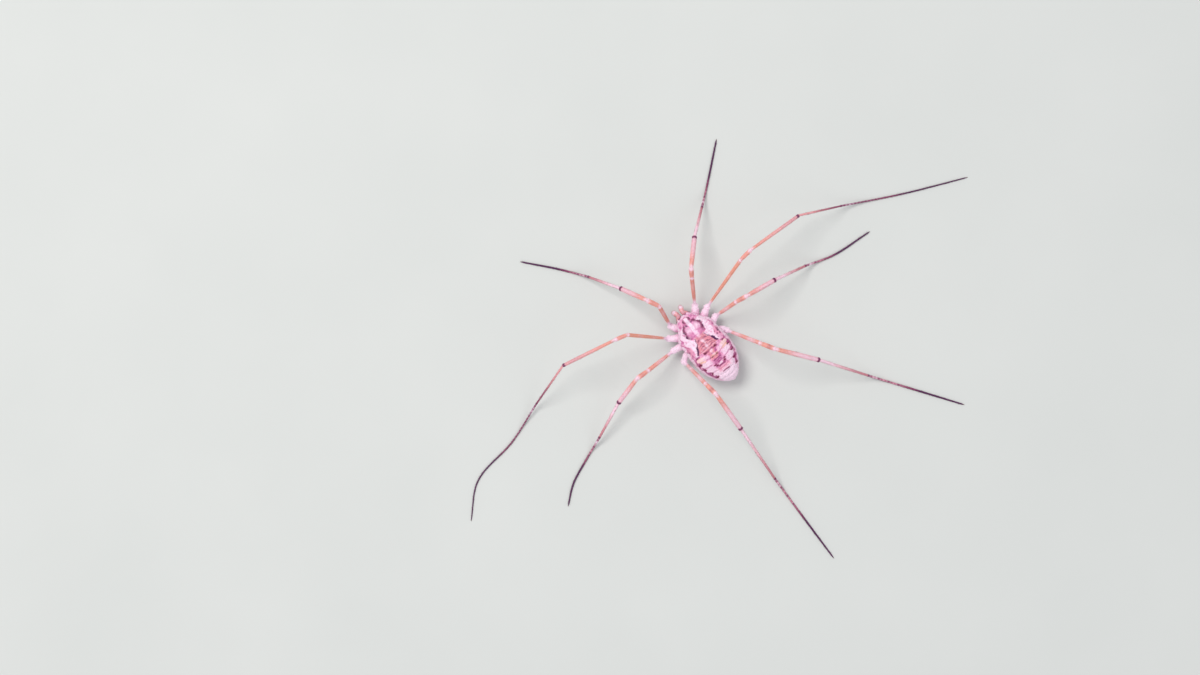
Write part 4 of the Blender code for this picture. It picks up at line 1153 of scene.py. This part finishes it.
def with_height(rings):
    """The rings' shell, with a height that runs from 0 at the first ring to 1 at the last."""
    height = np.linspace(0, 1, len(rings))[:, None, None] * np.ones((1, rings.shape[1], 1))
    return shell(np.concatenate([rings, height], axis=-1))


hooks = []
for name, held in limbs.items():
    if name.endswith("tarsus") and not name.endswith("metatarsus"):
        tip, ahead = held["axis"][-1], held["tangent"][-1]
        ahead = unit(ahead * (1, 1, 0.4))
        base = tip - 0.02 * ahead
        middle = tip + 0.55 * CLAW_LENGTH * ahead + (0, 0, 0.02)
        point = tip + CLAW_LENGTH * ahead - (0, 0, min(0.055, tip[2] - 0.012))
        hooks.append(with_height(horn((base, middle, point), (CLAW_RADIUS, 0.02, 0.005))))
for hand in (-1, 1):
    for route, girth in PINCERS:
        hooks.append(with_height(horn(np.array(route) * (hand, 1, 1), girth, 14)))


def horn_material():
    """Brown at the root and near black towards the tip, with a roughness that the grain varies."""
    made, tree, shader = new_material("horn")
    factor = ranged(tree, stored(tree, "height"), 0.1, 0.7)
    shade = add(tree, "ShaderNodeGroup", node_tree=cuticle_grain).outputs["Shade"]
    wire(tree, shader, {
        "Base Color": blend_colour(tree, factor, rgb(150, 92, 84), rgb(34, 14, 18)),
        "Roughness": ranged(tree, shade, 0.78, 1.16, 0.42, 0.24),
        "Specular IOR Level": 0.55,
    })
    return made


claws = join_shells("claws", hooks)
claws.data.materials.append(horn_material())
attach(claws, "root")

# The denticles
# Small blunt teeth of hard cuticle, white with a brown tip: in rows along the plates' rear edges and over
# the mound, thick on the coxae and trochanters, and as fine spines in lines down the legs.
DENTICLE_SHAPE = ((-0.35, 1.0), (0.0, 0.92), (0.45, 0.6), (0.82, 0.28))  # (height, radius), then the tip
HAIR_SHAPE = ((-0.1, 1.0), (0.35, 0.8), (0.7, 0.45))
PLATE_TEETH = 17  # along the rear edge of each plate
HEAD_TEETH, EDGE_TEETH, SIDE_TEETH = 54, 12, 70  # on the front of the back, at its edge, and on the sides
BACK_TOOTH, SIDE_TOOTH = (0.1, 0.021), (0.06, 0.022)  # height and radius
MOUND_TEETH = 6  # in each of its two rows
COXA_TEETH, TROCHANTER_TEETH = 16, 14
LEG_TEETH = {"femur": (0.2, 0.06), "patella": (0.13, 0.05), "tibia": (0.24, 0.04)}  # spacing and height
UNWRAP = {"trunk": (0.02, 0.5)}  # where each piece's strip starts across the coats' unwrap, and its width
for k, leg_name in enumerate(LEGS):
    UNWRAP[leg_name] = (0.54 + 0.05 * k, 0.04)
for k, side_name in enumerate(("left", "right")):
    for kind in ("pedipalp", "chelicera"):
        UNWRAP[f"{kind}_{side_name}"] = (0.95 + 0.02 * k, 0.015)
PATCH = 0.0015  # half of each tooth's or hair's patch on the unwrap


def trunk_roots(forward, turn):
    """Places, outward ways and marks on the trunk, and where they fall on its unwrap."""
    step = 0.01
    here = trunk(forward, turn)
    across = trunk(forward, turn + step) - here
    along = trunk(forward + step, turn) - here
    outward = unit(np.cross(across, along))
    start, width = UNWRAP["trunk"]
    spot = np.stack([start + width * (turn / (2 * np.pi) % 1), (forward + 4.2) / 7.2], axis=-1)
    return {"at": here, "out": outward, "along": unit(-along), "marks": trunk_marks(here), "uv": spot}


def limb_roots(name, share, turn):
    """The same on a leg, palp or jaw, from a share along it and a turn round it."""
    held = limbs[name]
    places = held["share"]

    def at(table):
        return np.stack([np.interp(share, places, values) for values in table.T], axis=-1)

    spoke = np.cos(turn)[:, None] * at(held["side"]) + np.sin(turn)[:, None] * at(held["over"])
    here = at(held["axis"]) + np.interp(share, places, held["radii"])[:, None] * spoke
    outward = unit(spoke)
    owner = next(key for key in UNWRAP if name.startswith(key))
    start, width = UNWRAP[owner]
    kinds = [key for key in limbs if key.startswith(owner)]
    height = (kinds.index(name) + share) / len(kinds)
    spot = np.stack([start + width * (turn / (2 * np.pi) % 1), height], axis=-1)
    return {"at": here, "out": outward, "along": at(held["tangent"]), "marks": at(held["marks"]), "uv": spot}


def gathered(groups):
    return {key: np.concatenate([group[key] for group in groups]) for key in groups[0]}


def coat(name, roots, shape, sides, material):
    """One mesh of many small tapered forms, each a stack of rings on its root closed by a point.

    roots holds, besides what trunk_roots() gives, each one's height, radius, lean along the limb and
    curl. A ring's middle leaves the root along the outward way and leans over with height.
    """
    count = len(roots["at"])
    levels = np.array([level for level, _ in shape])
    shares = np.array([share for _, share in shape])
    way = unit(roots["out"] + roots["lean"][:, None] * roots["along"])
    side = unit(np.cross(way, roots["along"] + 0.01))
    over = np.cross(side, way)

    def middle(level):
        rise = roots["tall"][:, None] * level
        bent = roots["tall"][:, None] * roots["curl"][:, None] * max(level, 0) ** 2
        return roots["at"] + rise * way + bent * roots["along"]

    turn = turns(sides)
    spokes = np.cos(turn)[:, None] * side[:, None] + np.sin(turn)[:, None] * over[:, None]
    rings = [
        middle(level)[:, None] + roots["wide"][:, None, None] * share * spokes
        for level, share in zip(levels, shares)
    ]
    places = np.concatenate([*rings, middle(1.0)[:, None]], axis=1)
    each = places.shape[1]
    faces = []
    for j in range(len(shape) - 1):
        for k in range(sides):
            a, b = j * sides + k, j * sides + (k + 1) % sides
            faces += [(a, b, b + sides), (a, b + sides, a + sides)]
    last = (len(shape) - 1) * sides
    faces += [(last + k, last + (k + 1) % sides, each - 1) for k in range(sides)]
    faces += [(0, k + 1, k) for k in range(1, sides - 1)]
    faces = np.array(faces)
    every = (faces[None] + each * np.arange(count)[:, None, None]).reshape(-1, 3)
    made = new_object(name, places.reshape(-1, 3), every)
    set_marks(made.data, np.repeat(np.clip(roots["marks"], 0, 1), each, axis=0))
    heights = np.concatenate([np.repeat(np.clip(levels, 0, 1), sides), [1.0]])
    set_floats(made.data, "height", np.tile(heights, count))
    disc = np.stack([np.cos(turn), np.sin(turn)], axis=-1)
    patch = np.concatenate([*(disc * PATCH * (1 - 0.9 * level) for level in np.clip(levels, 0, 1)), [[0, 0]]])
    unwrap = (roots["uv"][:, None] + patch[None]).reshape(-1, 2)
    layer = made.data.uv_layers.new(name="OFBake")
    layer.data.foreach_set("uv", unwrap[every.ravel()].astype(np.float32).ravel())
    made.data.shade_smooth()
    made.data.materials.append(material)
    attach(made, "root")
    return made


def sized(roots, chance, tall, wide, lean=0.0, curl=0.0, spread=0.2):
    """The roots with heights and radii near the given ones, each varied a little."""
    count = len(roots["at"])
    vary = chance.uniform(1 - spread, 1 + spread, (2, count))
    roots["tall"], roots["wide"] = tall * vary[0], wide * vary[1]
    roots["lean"] = lean + chance.normal(0, 0.08, count)
    roots["curl"] = np.full(count, curl)
    return roots


def trunk_denticles(chance):
    groups = []
    for furrow in FURROWS:
        turn = np.pi * (0.5 + 0.8 * (np.arange(PLATE_TEETH) + 0.5 - PLATE_TEETH / 2) / PLATE_TEETH)
        turn = turn + chance.uniform(-0.05, 0.05, PLATE_TEETH)
        forward = furrow + RIM_SET_AHEAD + chance.uniform(-0.03, 0.04, PLATE_TEETH)
        forward = forward - bend(trunk(forward, turn)[:, 0], forward)
        groups.append(sized(trunk_roots(forward, turn), chance, *BACK_TOOTH, lean=0.6))
    scattered = chance.uniform(1.3, 2.75, HEAD_TEETH)
    edge = np.full(EDGE_TEETH, 2.78) + chance.uniform(-0.04, 0.04, EDGE_TEETH)
    aside = np.where(np.arange(HEAD_TEETH) % 2, 0.22, 0.78) + chance.normal(0, 0.08, HEAD_TEETH)
    edge_turn = np.linspace(0.27, 0.73, EDGE_TEETH) + chance.uniform(-0.015, 0.015, EDGE_TEETH)
    roots = trunk_roots(np.concatenate([scattered, edge]), np.pi * np.concatenate([aside, edge_turn]))
    groups.append(sized(roots, chance, *BACK_TOOTH, lean=-0.3))
    forward = chance.uniform(-3.4, 1.2, SIDE_TEETH)
    turn = np.pi * chance.uniform(0.04, 0.12, SIDE_TEETH)
    turn = np.where(chance.uniform(size=SIDE_TEETH) > 0.5, turn, np.pi - turn)
    groups.append(sized(trunk_roots(forward, turn), chance, *SIDE_TOOTH, lean=0.4))
    return groups


def mound_denticles(chance):
    """Two rows over the mound, from front to back, beside its groove."""
    slope = np.tile(np.linspace(-0.95, 0.95, MOUND_TEETH), 2)
    hand = np.repeat([-1.0, 1.0], MOUND_TEETH)
    way = unit(np.stack([0.42 * hand, -np.sin(slope) * 0.9, np.cos(slope)], axis=-1))
    here = np.array(MOUND_CENTRE) + way * MOUND_HALF_SIZES
    outward = unit(way / MOUND_HALF_SIZES)
    marks = np.zeros((len(hand), len(MASKS)))
    marks[:, MASKS.index("milk")] = 0.9
    start, width = UNWRAP["trunk"]
    spot = np.stack([start + width * (0.25 - 0.02 * hand), 0.92 - 0.03 * slope], axis=-1)
    along = np.tile((0.0, 1.0, 0.0), (len(hand), 1))
    roots = {"at": here, "out": outward, "along": along, "marks": marks, "uv": spot}
    return sized(roots, chance, 0.085, 0.03)


def leg_denticles(chance):
    groups = []
    for name in LEGS:
        turn = np.radians(chance.uniform(15, 165, COXA_TEETH))
        roots = limb_roots(f"{name}_coxa", chance.uniform(0.4, 0.97, COXA_TEETH), turn)
        groups.append(sized(roots, chance, 0.085, 0.055, lean=0.1))
        turn = chance.uniform(0, 2 * np.pi, TROCHANTER_TEETH)
        share = chance.uniform(0.15, 0.95, TROCHANTER_TEETH)
        groups.append(sized(limb_roots(f"{name}_trochanter", share, turn), chance, 0.075, 0.045))
        for kind, (spacing, tall) in LEG_TEETH.items():
            held = limbs[f"{name}_{kind}"]
            length = np.linalg.norm(held["axis"][-1] - held["axis"][0])
            per_ridge = int(length / spacing)
            count = 5 * per_ridge
            share = np.tile((np.arange(per_ridge) + 0.5) / per_ridge, 5)
            share = share + chance.normal(0, 0.2 / per_ridge, count)
            turn = np.pi / 2 + np.repeat(np.arange(5), per_ridge) * 2 * np.pi / 5
            turn = turn + chance.normal(0, 0.06, count)
            roots = limb_roots(f"{name}_{kind}", np.clip(share, 0.02, 0.97), turn)
            groups.append(sized(roots, chance, tall, 0.02, lean=0.7))
    return groups


def denticle_material():
    """The cuticle's own marks, whitened over the tooth's flank and brown at its tip."""
    made, tree, shader, shaded = cuticle("denticle", 0.5, 0.01, 30000)
    height = stored(tree, "height")
    whiten = ranged(tree, height, 0.0, 0.4, 0.35, 0.92)
    kept = maths(tree, "SUBTRACT", 1.0, stored(tree, "border"))
    whiten = maths(tree, "MULTIPLY", whiten, kept)
    pale = blend_colour(tree, whiten, shaded.outputs[0], rgb(250, 238, 244))
    tip = ranged(tree, height, 0.8, 0.97, way="SMOOTHSTEP")
    wire(tree, shader, {"Base Color": blend_colour(tree, tip, pale, rgb(84, 40, 44))})
    return made


chance = np.random.default_rng(5)
tooth = denticle_material()
trunk_teeth = trunk_denticles(chance) + [mound_denticles(chance)]
coat("body_denticles", gathered(trunk_teeth), DENTICLE_SHAPE, 6, tooth)
coat("leg_denticles", gathered(leg_denticles(chance)), DENTICLE_SHAPE, 5, tooth)

# The hairs
# Fine brown bristles that lean towards the tip of each limb. They are thickest on the tarsi, sparse on
# the tibiae and palps, and short and scattered on the back.
HAIRS = {  # kind of limb: hairs a millimetre, length, radius at the root, lean
    "patella": (10, 0.09, 0.0055, 1.2),
    "tibia": (16, 0.11, 0.0055, 1.3),
    "metatarsus": (36, 0.12, 0.005, 1.5),
    "tarsus": (70, 0.1, 0.0045, 1.7),
    "femur": (7, 0.09, 0.0055, 1.2),
    "palp": (90, 0.1, 0.0055, 1.2),
}


def limb_hairs(chance):
    groups = []
    for name, held in limbs.items():
        kind = "palp" if name.startswith("pedipalp") else name.split("_")[-1]
        if kind not in HAIRS:
            continue
        rate, tall, wide, lean = HAIRS[kind]
        count = int(rate * held["length"])
        roots = limb_roots(name, chance.uniform(0.02, 0.98, count), chance.uniform(0, 2 * np.pi, count))
        high = roots["at"][:, 2] + tall * roots["out"][:, 2] > 0.02
        roots = {key: values[high] for key, values in roots.items()}
        groups.append(sized(roots, chance, tall, wide, lean=lean, curl=0.25, spread=0.35))
    return groups


def hair_material():
    """Brown at the root, over the marks of the skin it grows on, and paler towards the point."""
    made, tree, shader = new_material("hair")
    marks = add(tree, "ShaderNodeGroup", node_tree=cuticle_marks).outputs["Color"]
    root = blend_colour(tree, 0.75, marks, rgb(70, 38, 46))
    colour = blend_colour(tree, stored(tree, "height"), root, rgb(142, 100, 104))
    wire(tree, shader, {"Base Color": colour, "Roughness": 0.4})
    return made


bristle = hair_material()
coat("leg_hairs", gathered(limb_hairs(chance)), HAIR_SHAPE, 3, bristle)
BACK_HAIRS = 620
forward = chance.uniform(-3.9, 2.75, BACK_HAIRS)
turn = np.pi * chance.uniform(-0.08, 1.08, BACK_HAIRS)
back_hairs = sized(trunk_roots(forward, turn), chance, 0.075, 0.0055, lean=0.9, curl=0.2, spread=0.3)
coat("body_hairs", back_hairs, HAIR_SHAPE, 3, bristle)

# The studio
# A plain pale floor, soft light from above and from the side, and a long lens that looks straight down.
# The camera is rolled so that the animal lies in the frame as in the photograph.
PIXEL = 7.0 / 80.4  # millimetres for a pixel of the 1200 x 675 frame, from the body's length
FRAME_WIDTH = 1200 * PIXEL
BODY_PIXEL = (704, 342)  # where the plan's origin lies in the frame
FRAME_MIDDLE = (600, 337.5)
HEADING = (0.766, -0.643)  # the frame's share of the animal's right: to the right, and down
LENS, SENSOR = 200, 36
BODY_HEIGHT = 2.5


def studio_floor():
    mesh = bpy.data.meshes.new("floor")
    mesh.from_pydata([(-2, -2, 0), (2, -2, 0), (2, 2, 0), (-2, 2, 0)], [], [(0, 1, 2, 3)])
    floor = bpy.data.objects.new("floor", mesh)
    bpy.context.scene.collection.objects.link(floor)
    made, tree, shader = new_material("floor")
    cloud = noise(tree, object_place(tree), 60, 3)
    shade = blend_colour(tree, cloud, rgb(206, 208, 205), rgb(214, 215, 212))
    wire(tree, shader, {"Base Color": shade, "Roughness": 0.85})
    mesh.materials.append(made)


studio_floor()


def soft_light(name, way, distance, size, power, colour):
    """A round soft light on the given way from the body (left, up in the frame, and height)."""
    right, down = np.array(HEADING[0]), np.array(-HEADING[1])
    frame_left, frame_up = np.array((right, -down, 0)), np.array((-down, -right, 0))
    towards = unit(way[0] * frame_left + way[1] * frame_up + way[2] * np.array((0.0, 0.0, 1.0)))
    light = bpy.data.lights.new(name, "AREA")
    light.shape, light.size, light.energy, light.color = "DISK", size, power, colour
    made = bpy.data.objects.new(name, light)
    made.location = placed((0.0, 0.0, BODY_HEIGHT)) + towards * distance
    made.rotation_euler = mathutils.Vector(towards).to_track_quat("Z", "Y").to_euler()
    bpy.context.scene.collection.objects.link(made)


soft_light("key light", (1.0, 0.8, 2.4), 0.32, 0.15, 0.6, (1.0, 0.985, 0.96))
soft_light("fill light", (-1.0, -0.9, 1.5), 0.36, 0.3, 0.26, (0.96, 0.97, 1.0))

world = bpy.data.worlds.new("studio")
world.use_nodes = True
world.node_tree.nodes["Background"].inputs["Color"].default_value = (0.93, 0.96, 1.0, 1.0)
world.node_tree.nodes["Background"].inputs["Strength"].default_value = 0.56
bpy.context.scene.world = world
bpy.context.scene.view_settings.view_transform = "Standard"

off_right, off_down = np.subtract(FRAME_MIDDLE, BODY_PIXEL) * PIXEL
middle = (HEADING[0] * off_right + HEADING[1] * off_down, HEADING[1] * off_right - HEADING[0] * off_down)
lens = bpy.data.cameras.new("camera")
lens.lens, lens.sensor_width, lens.clip_start = LENS, SENSOR, 0.02
camera = bpy.data.objects.new("camera", lens)
camera.location = placed((*middle, BODY_HEIGHT + FRAME_WIDTH * LENS / SENSOR))
camera.rotation_euler = (0, 0, math.atan2(-HEADING[1], -HEADING[0]))
bpy.context.scene.collection.objects.link(camera)
bpy.context.scene.camera = camera
